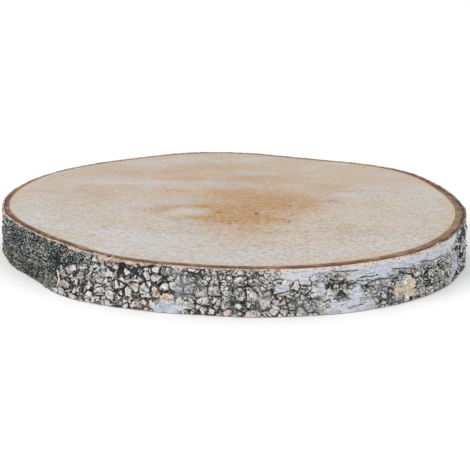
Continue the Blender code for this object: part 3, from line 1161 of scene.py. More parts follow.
@dataclass(frozen=True)
class OuterBarkFinish:
    """Weathered birch bark: pale broken chips with a painted highlight along their rims, over dark cracks,
    whole white paper, and green-grey algae.
    """

    weathering: Weathering
    chips: Stops = (
        (0.00, paint(98, 103, 99)),
        (0.16, paint(146, 149, 145)),
        (0.32, paint(186, 188, 188)),
        (0.52, paint(218, 218, 220)),
        (0.70, paint(228, 219, 215)),
        (0.86, paint(206, 193, 183)),
        (1.00, paint(160, 160, 154)),
    )
    ground: Stops = (
        (0.00, paint(48, 52, 53)),
        (0.25, paint(78, 84, 80)),
        (0.48, paint(116, 120, 112)),
        (0.66, paint(162, 161, 156)),
        (0.82, paint(200, 198, 196)),
        (1.00, paint(224, 221, 218)),
    )
    crack: Color = paint(52, 58, 56)
    crack_deep: Color = paint(36, 41, 45)
    crack_brown: Color = paint(94, 74, 62)
    # A painted highlight for the chips' rims.
    edge: Color = paint(232, 226, 223)
    paper: Color = paint(190, 194, 203)
    paper_bright: Color = paint(216, 218, 224)
    paper_grey: Color = paint(150, 155, 167)
    paper_pink: Color = paint(200, 186, 184)
    paper_cream: Color = paint(206, 202, 198)
    algae: Stops = (
        (0.00, paint(24, 32, 40)),
        (0.30, paint(48, 56, 60)),
        (0.52, paint(76, 82, 79)),
        (0.72, paint(116, 118, 108)),
        (1.00, paint(186, 186, 178)),
    )
    olive: Color = paint(116, 110, 72)
    dust: Color = paint(112, 116, 106)
    dust_pale: Color = paint(172, 173, 166)
    shaded_side: Color = paint(243, 249, 251)
    scar: Color = paint(218, 196, 170)
    scar_pale: Color = paint(238, 228, 214)
    grey: Color = paint(188, 188, 193)
    brown: Color = paint(132, 106, 94)
    pink: Color = paint(216, 178, 164)
    ochre: Color = paint(190, 148, 88)
    blue: Color = paint(170, 178, 190)
    cut: Color = paint(206, 188, 175)
    cut_brown: Color = paint(160, 130, 112)
    base_brown: Color = paint(172, 128, 98)
    cut_dull: Color = paint(128, 106, 86)

    def make(self) -> bpy.types.Material:
        """The material."""
        bench = FinishBench("outer_bark")
        signs = self.weathering.read(bench)
        rest = bench.mark_place("rest")
        fleck, mottle = signs.fleck, signs.mottle
        grain = bench.cloud(rest, 1500.0, 3.0, 0.7)
        light = bench.mark("light") - 0.8 * bench.mark("shade")
        ground_tone = 0.90 * signs.crumb + 1.5 * (fleck - 0.5) - 0.2 * signs.crumb_gap + 0.15 * light
        ground_tone = ground_tone - 0.15 * bench.mark("apart")
        ground = bench.ramp(self.ground, ground_tone)
        chip_tone = 0.18 + 0.20 * bench.mark("tone") + 0.50 * signs.chip + 0.14 * light
        chip_tone = chip_tone + 1.3 * (fleck - 0.5) + 0.45 * (signs.crumb - 0.5) + 0.14 * bench.mark("fine")
        color = bench.ramp(self.chips, chip_tone)
        for zone, tint in ((Zone.PINK, self.pink), (Zone.BROWN, self.brown), (Zone.OCHRE, self.ochre)):
            stained = bench.mark(zone.value) + 0.9 * (signs.crumb - 0.5) + 0.8 * (fleck - 0.5)
            color = bench.blend(0.8 * bench.rise(stained, 0.36, 0.55), color, tint)
        for zone, tint in ((Zone.BLUE, self.blue), (Zone.GREY, self.grey)):
            stained = bench.mark(zone.value) + 1.3 * (mottle - 0.5) + 1.2 * (fleck - 0.5)
            color = bench.blend(0.70 * bench.rise(stained, 0.34, 0.60), color, tint)
        rubbed = bench.rise(signs.crumb - 2.0 * (fleck - 0.5) - 0.15 * light, 0.60, 0.84)
        rubbed = rubbed * (1.0 - signs.edge) * (0.75 - 0.50 * bench.mark("fine"))
        color = bench.blend(rubbed, color, ground)
        # Painted highlight: a pale band along each chip's rim, as if its curled edge caught the light.
        painted_rim_highlight = signs.edge * bench.rise(fleck, 0.40, 0.55) * (0.80 - 0.30 * bench.mark("fine"))
        color = bench.blend(painted_rim_highlight, color, self.edge)
        color = bench.blend(signs.missing, color, ground)
        deep = bench.most(bench.mark("apart"), 0.8 * bench.mark("shade"), 0.6 * bench.mark("fine"))
        crack_color = bench.blend(bench.rise(mottle, 0.54, 0.68), self.crack, self.crack_brown)
        crack_color = bench.blend(0.85 * deep, crack_color, self.crack_deep)
        crack_color = bench.blend(0.6 * bench.rise(fleck, 0.54, 0.64), crack_color, ground)
        crack = bench.most(signs.gap, bench.rise(bench.mark("crack"), 0.60, 0.95))
        color = bench.blend((1.0 - 0.3 * bench.mark("blue")) * crack, color, crack_color)
        axes = bench.axes(rest)
        dust = bench.blend(bench.rise(grain, 0.40, 0.60), self.dust, self.dust_pale)
        veil = bench.rise(bench.cloud(rest, 95.0, 3.0, 0.6) + 0.45 * (fleck - 0.5), 0.50, 0.62)
        veil = veil * (0.50 - 0.35 * bench.mark("apart") - 0.15 * bench.mark("fine"))
        color = bench.blend(veil, color, dust)
        color = bench.shade(bench.rise(axes, 0.02, 0.08), color, self.shaded_side)
        color = bench.blend(signs.paper, color, self.paper_color(bench, rest, signs))
        scar = bench.cloud(bench.stretch(rest, 1.0, 1.0, 0.35), 700.0, 3.0, 0.6)
        scar_color = bench.blend(bench.rise(scar, 0.42, 0.56), self.scar, self.scar_pale)
        scar_share = bench.rise(bench.mark("scar") + 0.35 * (fleck - 0.5) + 0.3 * (mottle - 0.5), 0.44, 0.52)
        color = bench.blend(scar_share, color, scar_color)
        color = bench.blend(self.algae_share(bench, signs), color, self.algae_color(bench, rest, signs))
        bared = bench.rise(axes.other("Z"), 1.2 * MM, 0.3 * MM) * bench.rise(mottle + 0.5 * fleck, 0.80, 0.90)
        color = bench.blend(0.4 * bared, color, self.base_brown)
        cut = bench.blend(bench.rise(fleck + 0.5 * (mottle - 0.5), 0.52, 0.36), self.cut, self.cut_brown)
        cut = bench.blend(bench.mark("dull"), cut, self.cut_dull)
        color = bench.blend(bench.most(bench.mark("rim"), signs.cut), color, cut)
        height = 0.55 * fleck + 0.25 * grain - 0.5 * signs.gap - 0.2 * signs.crumb_gap * (1.0 - signs.paper)
        return bench.close(color, 0.72 + 0.2 * fleck, height, 0.70 * MM)

    def paper_color(self, bench: FinishBench, rest: Wire, signs: BarkSigns) -> Wire:
        """Whole paper: blue-white, in layers, with fine lines round the trunk and a pink bloom."""
        fine = bench.cloud(bench.stretch(rest, 1.0, 1.0, 7.0), 170.0, 5.0, 0.7)
        bloom = bench.cloud(rest, 85.0, 3.0)
        color = bench.blend(0.9 * bench.rise(fine, 0.52, 0.34), self.paper, self.paper_grey)
        under_rim = bench.rise(bench.mark("below_top"), 4.0 * MM, 1.0 * MM)
        color = bench.blend(0.55 * under_rim, color, self.paper_cream)
        color = bench.blend(0.5 * bench.rise((signs.layer * 0.37) % 1.0, 0.5, 0.6), color, self.paper_grey)
        color = bench.blend(0.6 * bench.rise(bloom, 0.56, 0.66), color, self.paper_pink)
        color = bench.blend(0.9 * bench.rise(fine, 0.56, 0.66), color, self.paper_bright)
        slits = bench.rise(bench.mark("slit"), 0.2, 0.7) * bench.rise(signs.fleck, 0.36, 0.46)
        lines = bench.most(0.85 * signs.line * bench.rise(signs.mottle, 0.40, 0.50), slits)
        return bench.blend(lines, color, self.crack)

    def algae_share(self, bench: FinishBench, signs: BarkSigns) -> Wire:
        """Where algae covers the bark."""
        grown = bench.mark("algae") + 0.7 * (signs.mottle - 0.5) + 0.5 * (signs.fleck - 0.5)
        return bench.rise(grown, 0.40, 0.52)

    def algae_color(self, bench: FinishBench, rest: Wire, signs: BarkSigns) -> Wire:
        """Algae: grey-green, dark in its hollows, with pale and olive grains."""
        grain = bench.cloud(rest, 850.0, 2.0, 0.6)
        broad = bench.cloud(rest, 75.0, 2.0)
        tone = 0.41 + 6.8 * (grain - 0.5) + 1.6 * (broad - 0.5) + 0.4 * (signs.crumb - 0.5)
        tone = tone - 0.42 * bench.mark("shade")
        color = bench.ramp(self.algae, tone)
        low = bench.rise(bench.axes(rest).other("Z"), 16.0 * MM, 2.0 * MM)
        return bench.blend(0.5 * low * bench.rise(grain, 0.48, 0.60), color, self.olive)


@dataclass(frozen=True)
class Slit:
    """A long thin crack in the bark between two places, in degrees round the trunk and metres up."""

    angle: float
    height: float
    end_angle: float
    end_height: float
    half_width: float = 0.35 * MM
    waver: float = 0.3 * MM
    waver_length: float = 2.6 * MM

    def share(self, trunk: Trunk, angle: Array, height: Array) -> Array:
        """1 along the middle of the slit, 0 outside it."""
        per_degree = TURN * trunk.mean_radius / 360.0
        x = ((np.degrees(angle) - self.angle + 180.0) % 360.0 - 180.0) * per_degree
        y = height - self.height + self.waver * np.sin(x / self.waver_length + self.angle)
        end_x, end_y = (self.end_angle - self.angle) * per_degree, self.end_height - self.height
        along = np.clip((x * end_x + y * end_y) / (end_x**2 + end_y**2), 0.0, 1.0)
        away = np.hypot(x - along * end_x, y - along * end_y)
        return smooth_step(1.5 - away / self.half_width)


@dataclass
class OuterBark:
    """The bark's weathered side and its thin cut edge, from the solid's plates down to the finest cracks."""

    trunk: Trunk
    plates: BarkPlates = BarkPlates()
    weathering: Weathering = Weathering()
    columns: int = 1500
    side_rows: int = 54
    lip_width: float = 0.9 * MM
    lip_ragged: float = 0.5 * MM
    lip_ragged_length: float = 3.0 * MM
    lip_crown: float = 0.12 * MM
    wall: float = 4.7 * MM
    wall_height: float = 3.0 * MM
    gap_depth: float = 0.75 * MM
    chip_steps: float = 0.5 * MM
    missing_depth: float = 0.7 * MM
    grit: float = 0.5 * MM
    layer_step: float = 0.14 * MM
    patches: tuple[Patch, ...] = (
        Patch(Zone.SMOOTH, 252, 0.004, 5, 0.006),
        Patch(Zone.SMOOTH, 283, 0.025, 6, 0.007),
        Patch(Zone.SMOOTH, 300, 0.027, 14, 0.006),
        Patch(Zone.SMOOTH, 297, 0.006, 6, 0.007),
        Patch(Zone.SMOOTH, 326, 0.026, 10, 0.007),
        Patch(Zone.SMOOTH, 352, 0.012, 5, 0.010),
        Patch(Zone.SMOOTH, 18, 0.020, 12, 0.009),
        Patch(Zone.SMOOTH, 64, 0.009, 14, 0.008),
        Patch(Zone.SMOOTH, 108, 0.023, 12, 0.007),
        Patch(Zone.SMOOTH, 146, 0.010, 9, 0.010),
        Patch(Zone.SMOOTH, 168, 0.024, 7, 0.008),
        Patch(Zone.PAPER, 253, 0.0032, 3.2, 0.0046),
        Patch(Zone.PAPER, 285, 0.0272, 3.8, 0.0044),
        Patch(Zone.PAPER, 281.0, 0.0165, 1.5, 0.0030),
        Patch(Zone.PAPER, 290, 0.0158, 1.0, 0.0038),
        Patch(Zone.PAPER, 292, 0.0290, 8, 0.0026),
        Patch(Zone.PAPER, 303, 0.0240, 6, 0.0066),
        Patch(Zone.PAPER, 312.5, 0.0275, 6, 0.0052),
        Patch(Zone.PAPER, 323, 0.0270, 8, 0.0056),
        Patch(Zone.PAPER, 331, 0.0275, 4, 0.0050),
        Patch(Zone.PAPER, 297, 0.0030, 5.5, 0.0046),
        Patch(Zone.PAPER, 298.6, 0.0110, 1.7, 0.0040),
        Patch(Zone.PAPER, 336, 0.0095, 1.6, 0.0055),
        Patch(Zone.PAPER, 6, 0.012, 5, 0.010),
        Patch(Zone.PAPER, 18, 0.020, 12, 0.009),
        Patch(Zone.PAPER, 64, 0.009, 14, 0.008),
        Patch(Zone.PAPER, 108, 0.023, 12, 0.007),
        Patch(Zone.PAPER, 146, 0.010, 9, 0.010),
        Patch(Zone.PAPER, 168, 0.024, 7, 0.008),
        Patch(Zone.ALGAE, 193, 0.012, 20, 0.036),
        Patch(Zone.ALGAE, 217, 0.024, 6, 0.009),
        Patch(Zone.ALGAE, 214.5, 0.010, 3.4, 0.016),
        Patch(Zone.ALGAE, 227.5, 0.0245, 3.6, 0.0036),
        Patch(Zone.ALGAE, 40, 0.004, 16, 0.007),
        Patch(Zone.ALGAE, 125, 0.006, 10, 0.010),
        Patch(Zone.SCAR, 313.9, 0.0094, 1.9, 0.0064),
        Patch(Zone.SCAR, 310.3, 0.0086, 1.1, 0.0036),
        Patch(Zone.SHADE, 193, 0.020, 3, 0.004),
        Patch(Zone.SHADE, 214, 0.0130, 3, 0.006),
        Patch(Zone.SHADE, 216, 0.0195, 3, 0.004),
        Patch(Zone.SHADE, 223, 0.020, 3, 0.004),
        Patch(Zone.SHADE, 239.5, 0.0235, 2.4, 0.0048),
        Patch(Zone.SHADE, 246.2, 0.0268, 0.9, 0.0020),
        Patch(Zone.SHADE, 250.5, 0.021, 1.1, 0.0040),
        Patch(Zone.SHADE, 265, 0.0035, 1.0, 0.0024),
        Patch(Zone.SHADE, 270.8, 0.006, 1.3, 0.006),
        Patch(Zone.SHADE, 281.8, 0.0035, 0.8, 0.003),
        Patch(Zone.SHADE, 293.8, 0.0105, 1.5, 0.0036),
        Patch(Zone.SHADE, 296.0, 0.0205, 1.4, 0.0018),
        Patch(Zone.SHADE, 310, 0.0203, 2.8, 0.0040),
        Patch(Zone.SHADE, 344, 0.012, 8, 0.022),
        Patch(Zone.SHADE, 5, 0.010, 14, 0.012),
        Patch(Zone.SHADE, 88, 0.018, 12, 0.012),
        Patch(Zone.LIGHT, 242, 0.0095, 9, 0.0085),
        Patch(Zone.LIGHT, 248, 0.018, 3, 0.004),
        Patch(Zone.LIGHT, 224.5, 0.0030, 3, 0.0035),
        Patch(Zone.LIGHT, 259, 0.025, 4.5, 0.0055),
        Patch(Zone.LIGHT, 264, 0.010, 3, 0.004),
        Patch(Zone.LIGHT, 294, 0.0215, 4.5, 0.0060),
        Patch(Zone.LIGHT, 305, 0.0080, 4, 0.0090),
        Patch(Zone.LIGHT, 314, 0.0020, 3, 0.0036),
        Patch(Zone.LIGHT, 322, 0.0110, 8, 0.0120),
        Patch(Zone.LIGHT, 276, 0.006, 4, 0.0080),
        Patch(Zone.LIGHT, 291, 0.016, 3.5, 0.0050),
        Patch(Zone.LIGHT, 284.5, 0.014, 4, 0.0060),
        Patch(Zone.LIGHT, 268, 0.003, 2.5, 0.0035),
        Patch(Zone.LIGHT, 281.5, 0.0160, 3.5, 0.0045),
        Patch(Zone.LIGHT, 286, 0.006, 5, 0.008),
        Patch(Zone.LIGHT, 35, 0.018, 10, 0.010),
        Patch(Zone.LIGHT, 130, 0.022, 10, 0.007),
        Patch(Zone.FINE, 257.5, 0.0170, 3.0, 0.0070),
        Patch(Zone.FINE, 268, 0.021, 7, 0.009),
        Patch(Zone.FINE, 275, 0.0235, 5, 0.006),
        Patch(Zone.FINE, 286, 0.007, 4.5, 0.0080),
        Patch(Zone.FINE, 294, 0.020, 5, 0.006),
        Patch(Zone.FINE, 305, 0.008, 5, 0.010),
        Patch(Zone.FINE, 310, 0.020, 4, 0.005),
        Patch(Zone.FINE, 323, 0.012, 9, 0.020),
        Patch(Zone.FINE, 336, 0.012, 5, 0.030),
        Patch(Zone.FINE, 356, 0.015, 5, 0.030),
        Patch(Zone.FINE, 90, 0.015, 16, 0.030),
        Patch(Zone.GREY, 286.5, 0.0060, 3.0, 0.0050),
        Patch(Zone.GREY, 289, 0.0235, 3.0, 0.0040),
        Patch(Zone.GREY, 279.5, 0.0260, 2.5, 0.0040),
        Patch(Zone.BROWN, 222.5, 0.0080, 4.4, 0.0065),
        Patch(Zone.BROWN, 229, 0.0125, 3.4, 0.0045),
        Patch(Zone.BROWN, 294, 0.0200, 4.0, 0.0040),
        Patch(Zone.BROWN, 302, 0.0145, 2.0, 0.0020),
        Patch(Zone.PINK, 236, 0.0272, 3.4, 0.0018),
        Patch(Zone.PINK, 242.5, 0.0285, 1.8, 0.0024),
        Patch(Zone.PINK, 267.0, 0.0020, 1.6, 0.0020),
        Patch(Zone.PINK, 275.5, 0.0018, 1.8, 0.0019),
        Patch(Zone.PINK, 247, 0.0040, 3, 0.0045),
        Patch(Zone.PINK, 78, 0.025, 6, 0.005),
        Patch(Zone.OCHRE, 251.5, 0.0108, 2.3, 0.0030),
        Patch(Zone.OCHRE, 280.2, 0.0112, 1.1, 0.0030),
        Patch(Zone.BLUE, 257.0, 0.0160, 2.4, 0.0070),
        Patch(Zone.BLUE, 305.5, 0.0135, 1.8, 0.0028),
        Patch(Zone.BLUE, 234.8, 0.0185, 1.3, 0.0045),
        Patch(Zone.CURLED, 222.5, 0.0100, 4.5, 0.0080),
        Patch(Zone.CURLED, 229.5, 0.0150, 3.5, 0.0060),
        Patch(Zone.CURLED, 219.5, 0.0240, 1.6, 0.0040),
        Patch(Zone.CURLED, 236, 0.0200, 3.0, 0.0060),
        Patch(Zone.CURLED, 100, 0.0150, 8, 0.0060),
        Patch(Zone.APART, 242, 0.0150, 10, 0.0170),
        Patch(Zone.APART, 227, 0.0110, 4.5, 0.0100),
        Patch(Zone.APART, 262, 0.0010, 3.0, 0.0040),
        Patch(Zone.APART, 321, 0.0110, 5, 0.0090),
        Patch(Zone.APART, 344, 0.0150, 6, 0.0200),
        Patch(Zone.APART, 150, 0.0150, 10, 0.0200),
        Patch(Zone.APART, 40, 0.0150, 8, 0.0200),
        Patch(Zone.DULL, 352, 0.0300, 22, 0.0080),
        Patch(Zone.TORN, 325, 0.0300, 1.6, 0.0040),
        Patch(Zone.TORN, 236, 0.0300, 4.0, 0.0040),
    )
    slits: tuple[Slit, ...] = (
        Slit(279.0, 0.0140, 286.5, 0.0170),
        Slit(282.6, 0.0200, 282.8, 0.0155),
        Slit(299.0, 0.0188, 307.5, 0.0172),
        Slit(299.5, 0.0206, 304.5, 0.0214),
        Slit(308.0, 0.0236, 315.0, 0.0200),
        Slit(284.0, 0.0112, 284.6, 0.0060),
        Slit(287.0, 0.0085, 289.5, 0.0120),
        Slit(281.6, 0.0120, 282.6, 0.0022, 0.6 * MM),
        Slit(272.0, 0.0110, 271.2, 0.0020, 0.7 * MM),
        Slit(239.0, 0.0270, 242.0, 0.0205, 0.7 * MM),
        Slit(296.5, 0.0035, 300.5, 0.0040, 0.3 * MM),
        Slit(293.0, 0.0262, 299.0, 0.0256, 0.3 * MM),
        Slit(318.0, 0.0222, 327.0, 0.0208, 0.4 * MM),
        Slit(20.0, 0.0130, 28.0, 0.0136),
        Slit(60.0, 0.0110, 70.0, 0.0100),
        Slit(104.0, 0.0240, 112.0, 0.0236),
    )

    def spread(self, zone: Zone, angle: Array, height: Array) -> Array:
        """The share of a zone at places on the side."""
        shares = [patch.share(angle, height) for patch in self.patches if patch.zone is zone]
        return np.maximum.reduce(shares)

    def relief(self, angle: Array, height: Array) -> tuple[Array, Array, Array]:
        """The bark's own relief, as its solid has it.

        Args:
            angle: where round the trunk, in radians.
            height: how far up it.

        Returns:
            How far the bark stands out from the outline, the share of a crevice, and the plate's tone.
        """
        plates = self.plates
        border, sink, tone = plates.nearest(self.trunk, angle, height)
        crevice = 1.0 - smooth_step(border * plates.length / (0.5 * plates.crevice_width))
        edge = np.minimum(height, self.trunk.thickness - height)
        fade = plates.rim_share + (1.0 - plates.rim_share) * smooth_step(edge / plates.rim_fade)
        rough = 1.0 - (1.0 - plates.smooth_share) * self.spread(Zone.SMOOTH, angle, height)
        sink = 0.5 + (sink - 0.5) * fade
        swelling = plates.swelling * self.trunk.wander(angle, height, plates.swelling_length)[:, 2]
        relief = swelling - rough * (plates.crevice_depth * crevice * fade + plates.sink * sink)
        return relief, rough * crevice, tone

    def lip_radius(self, angle: Array, level: float) -> Array:
        """The inner radius of the bark's cut edge.

        Args:
            angle: where round the trunk, in radians.
            level: 1 for the top face, 0 for the base.

        Returns:
            The radii.
        """
        droop = self.trunk.droop
        height = np.full_like(angle, droop + level * (self.trunk.thickness - 2.0 * droop))
        surface = self.trunk.outline(angle, height) + self.relief(angle, height)[0]
        ragged = self.lip_ragged * self.trunk.wander(angle, height, self.lip_ragged_length)[:, 0]
        return surface - self.lip_width + ragged

    def blank(self) -> bpy.types.Mesh:
        """The bark with the solid's plates: lip, side, lip and hidden wall, with marks for what is where."""
        trunk = self.trunk
        loft = Loft(trunk, self.columns)
        angle = loft.angle
        crack, tone = [], []
        heights = np.linspace(trunk.thickness - trunk.droop, trunk.droop, self.side_rows)
        for number, height in enumerate(heights):
            relief, crevice, plate_tone = self.relief(angle, np.full_like(angle, height))
            is_top, is_base = number == 0, number == self.side_rows - 1
            if is_top:
                self.add_lip(loft, angle, relief, heights[0], 1.0)
            loft.add(trunk.outline(angle, height) + relief, height, 0.3 if is_base else 1.0)
            if is_base:
                self.add_lip(loft, angle, relief, heights[-1], 0.0)
            crack.append(crevice)
            tone.append(plate_tone)
        for height in (self.wall_height, trunk.thickness - self.wall_height):
            loft.add(trunk.outline(angle, height) - self.wall, height, 0.2)
        mesh = loft.build("bark_blank")
        marks = MeshMarks(mesh)
        none = [np.zeros_like(angle)] * 2
        marks.write("crack", np.stack(none + crack + none * 2))
        marks.write("tone", np.stack(none + tone + none * 2))
        marks.write("side", np.stack(none + [np.ones_like(angle)] * self.side_rows + none * 2))
        places = marks.points()
        marks.write_places("rest", places)
        marks.write("below_top", trunk.thickness - places[:, 2])
        turn = np.arctan2(places[:, 1] - trunk.centre[1], places[:, 0] - trunk.centre[0])
        for zone in Zone:
            marks.write(zone.value, self.spread(zone, turn, places[:, 2]))
        marks.write("slit", np.maximum.reduce([slit.share(trunk, turn, places[:, 2]) for slit in self.slits]))
        return mesh

    def add_lip(self, loft: Loft, angle: Array, relief: Array, height: float, level: float) -> None:
        """Adds the two rows of the bark's cut edge, outwards on the top face and inwards on the base."""
        edge = self.trunk.outline(angle, height) + relief
        inner = self.lip_radius(angle, level)
        crown = self.lip_crown if level else -self.lip_crown
        rows = [(inner, height), (0.35 * inner + 0.65 * edge, height + crown)]
        for radius, row_height in rows if level else reversed(rows):
            loft.add(radius, row_height, 0.8)

    def build(self) -> bpy.types.Object:
        """Breaks the plates into chips, roughens them and steps the paper, by Geometry Nodes."""
        bench = ShapeBench(
            "weathered_bark",
            {
                "Gap Depth": self.gap_depth,
                "Chip Steps": self.chip_steps,
                "Missing Depth": self.missing_depth,
                "Grit": self.grit,
                "Layer Step": self.layer_step,
                "Finish": OuterBarkFinish(self.weathering).make(),
            },
        )
        signs = self.weathering.read(bench)
        spot = bench.spot()
        height = bench.axes(spot).other("Z")
        algae, side = bench.mark("algae"), bench.mark("side")
        thickness = self.trunk.thickness
        held = bench.rise(height, 0.0, 2.0 * MM) * bench.rise(height, thickness, thickness - 2.0 * MM)
        calm = (1.0 - 0.6 * bench.mark("blue")) * (1.0 - 0.6 * bench.mark("grey")) * (1.0 - 0.8 * signs.cut)
        rough = (1.0 - signs.paper) * (1.0 - 0.7 * algae) * calm * (0.25 + 0.75 * held)
        depth = rough * (
            signs.gap * bench.given("Gap Depth")
            + signs.sunk * bench.given("Chip Steps")
            + signs.missing * bench.given("Missing Depth")
        )
        grit = (0.5 * (signs.fleck - 0.5) + 0.35 * (signs.crumb - 0.5)) * bench.given("Grit")
        depth = depth - grit * (0.15 + 0.85 * (1.0 - signs.paper)) * (1.0 - 0.7 * signs.cut)
        depth = depth - signs.paper * (signs.layer - 4.0) * bench.given("Layer Step")
        depth = depth + bench.mark("slit") * bench.given("Gap Depth")
        outward = bench.vector("NORMALIZE", bench.stretch(spot, 1.0, 1.0, 0.0))
        offset = bench.vector("SCALE", outward, depth * side * -1.0)
        feeds = {"Geometry": bench.given("Geometry"), "Offset": offset}
        shape = bench.node("GeometryNodeSetPosition", None, feeds)
        shape = bench.keep(shape, "bare", (1.0 - signs.paper) * (1.0 - signs.gap) * (1.0 - signs.missing))
        shape = bench.keep(shape, "rim", bench.rise(side, 0.9, 0.3))
        mesh = bench.run(shape, self.blank(), "outer_bark")
        mesh.polygons.foreach_set("use_smooth", np.ones(len(mesh.polygons), bool))
        return hand_over(mesh, Slot.OUTER_BARK)


@dataclass(frozen=True)
class GrowthFinish:
    """The finish of small things that sit on the bark: a ramp over their own tones, with dark flecks, and
    painted shade at their feet.
    """

    name: str
    tones: Stops
    # The colour of dark flecks, and of the painted shade at each shape's foot.
    fleck_and_foot_shade: Color
    roughness: float = 0.85
    flecks: float = 0.5

    def make(self) -> bpy.types.Material:
        """The material."""
        bench = FinishBench(self.name)
        place = bench.place()
        fleck = bench.cloud(place, 800.0, 2.0, 0.5)
        tone = bench.mark("own_tone") + self.flecks * (fleck - 0.5)
        color = bench.ramp(self.tones, tone)
        # Dark flecks in the shape's own colour.
        color = bench.blend(self.flecks * bench.rise(fleck, 0.50, 0.40), color, self.fleck_and_foot_shade)
        # Painted shade at the foot of each shape, where it meets the bark.
        color = bench.blend(bench.rise(bench.mark("lift"), 0.55, 0.1), color, self.fleck_and_foot_shade)
        return bench.close(color, self.roughness, fleck, 0.25 * MM)


SCALE_FINISH = GrowthFinish(
    "bark_scales",
    (
        (0.00, paint(150, 150, 144)),
        (0.20, paint(192, 192, 192)),
        (0.45, paint(214, 211, 208)),
        (0.68, paint(208, 190, 180)),
        (0.84, paint(196, 178, 160)),
        (1.00, paint(172, 176, 182)),
    ),
    paint(70, 72, 70),
    flecks=0.7,
)
ALGAE_FINISH = GrowthFinish(
    "algae_grains",
    (
        (0.00, paint(30, 40, 48)),
        (0.30, paint(58, 66, 68)),
        (0.55, paint(96, 100, 92)),
        (0.75, paint(150, 150, 136)),
        (1.00, paint(214, 214, 206)),
    ),
    paint(28, 34, 37),
)
CURL_FINISH = GrowthFinish(
    "paper_curls",
    (
        (0.00, paint(150, 132, 122)),
        (0.30, paint(190, 176, 166)),
        (0.55, paint(222, 213, 206)),
        (0.80, paint(228, 224, 222)),
        (1.00, paint(196, 190, 198)),
    ),
    paint(104, 82, 74),
    flecks=0.3,
)
FIBRE_FINISH = GrowthFinish(
    "rim_fibres",
    (
        (0.00, paint(226, 178, 138)),
        (0.50, paint(236, 216, 196)),
        (1.00, paint(240, 234, 226)),
    ),
    paint(204, 160, 126),
)


@dataclass
class BarkGrowth:
    """Small shapes scattered over the bark by Geometry Nodes, thickest where a mark on the bark says so."""

    name: str
    finish: GrowthFinish
    spacing: float
    density: float
    seed: int

    def shape(self, bench: ShapeBench) -> Wire:
        """One of the small shapes, at the origin with +Z away from the bark."""
        raise NotImplementedError

    def crowd(self, bench: ShapeBench) -> Wire:
        """How thick the shapes stand, from 0 to 1, at each place on the bark."""
        raise NotImplementedError

    def scale(self, bench: ShapeBench) -> Wire:
        """Each shape's own scale."""
        raise NotImplementedError

    def settle(self, bench: ShapeBench, shape: Wire) -> Wire:
        """The last change to all the shapes together, once they are real meshes."""
        return shape

    def tilt(self) -> float:
        """How far a shape may lean, in radians."""
        return 0.2

    def smooth(self) -> bool:
        """Whether the shapes have soft edges."""
        return True

    def steer(self, bench: ShapeBench, rotation: Wire) -> Wire:
        """The shapes' rotation, turned to a chosen direction where they have one."""
        return rotation

    def between(self, bench: ShapeBench, low: float, high: float) -> Wire:
        """1 on the bark's side between two heights, 0 elsewhere, with a millimetre's rise at each."""
        height = bench.axes(bench.spot()).other("Z")
        inside = bench.rise(height, low, low + MM) * bench.rise(height, high, high - MM)
        return inside * bench.rise(bench.mark("side"), 0.9, 0.99)

    def build(self, bark: bpy.types.Object) -> bpy.types.Object:
        """Scatters the shapes over the bark.

        Args:
            bark: the outer bark, whose mesh and marks are copied.

        Returns:
            All the shapes as one piece.
        """
        bench = ShapeBench(
            self.name,
            {
                "Spacing": self.spacing,
                "Density": self.density,
                "Seed": self.seed,
                "Finish": self.finish.make(),
            },
        )
        spread = {
            "Mesh": bench.given("Geometry"),
            "Distance Min": bench.given("Spacing"),
            "Density Max": bench.given("Density"),
            "Density Factor": self.crowd(bench),
            "Seed": bench.given("Seed"),
        }
        points = bench.node("GeometryNodeDistributePointsOnFaces", {"distribute_method": "POISSON"}, spread)
        lean = self.tilt()
        spin = bench.chance(-math.pi, math.pi, 3)
        turn = bench.point(bench.chance(-lean, lean, 1), bench.chance(-lean, lean, 2), spin)
        turned = {"Rotation": points.other("Rotation"), "Rotate By": turn}
        rotation = bench.node("FunctionNodeRotateRotation", {"rotation_space": "LOCAL"}, turned)
        rotation = self.steer(bench, rotation)
        part = self.shape(bench)
        local = bench.axes(bench.spot())
        for axis in "XYZ":
            part = bench.keep(part, f"local_{axis.lower()}", local.other(axis))
        feeds = {"Points": points, "Instance": part, "Rotation": rotation, "Scale": self.scale(bench)}
        crowd = bench.node("GeometryNodeInstanceOnPoints", None, feeds)
        crowd = bench.keep(crowd, "own_tone", bench.chance(0.0, 1.0, 4), "INSTANCE")
        crowd = bench.keep(crowd, "own_number", bench.node("GeometryNodeInputIndex"), "INSTANCE")
        real = bench.node("GeometryNodeRealizeInstances", None, {"Geometry": crowd})
        mesh = bench.run(self.settle(bench, real), bark.data.copy(), self.name)
        marks = MeshMarks(mesh)
        reach = max(np.abs(marks.read(f"local_{axis}")).max() for axis in "xy")
        marks.lay_out_cells("own_number", reach)
        mesh.polygons.foreach_set("use_smooth", np.full(len(mesh.polygons), self.smooth()))
        return hand_over(mesh, Slot.OUTER_BARK)


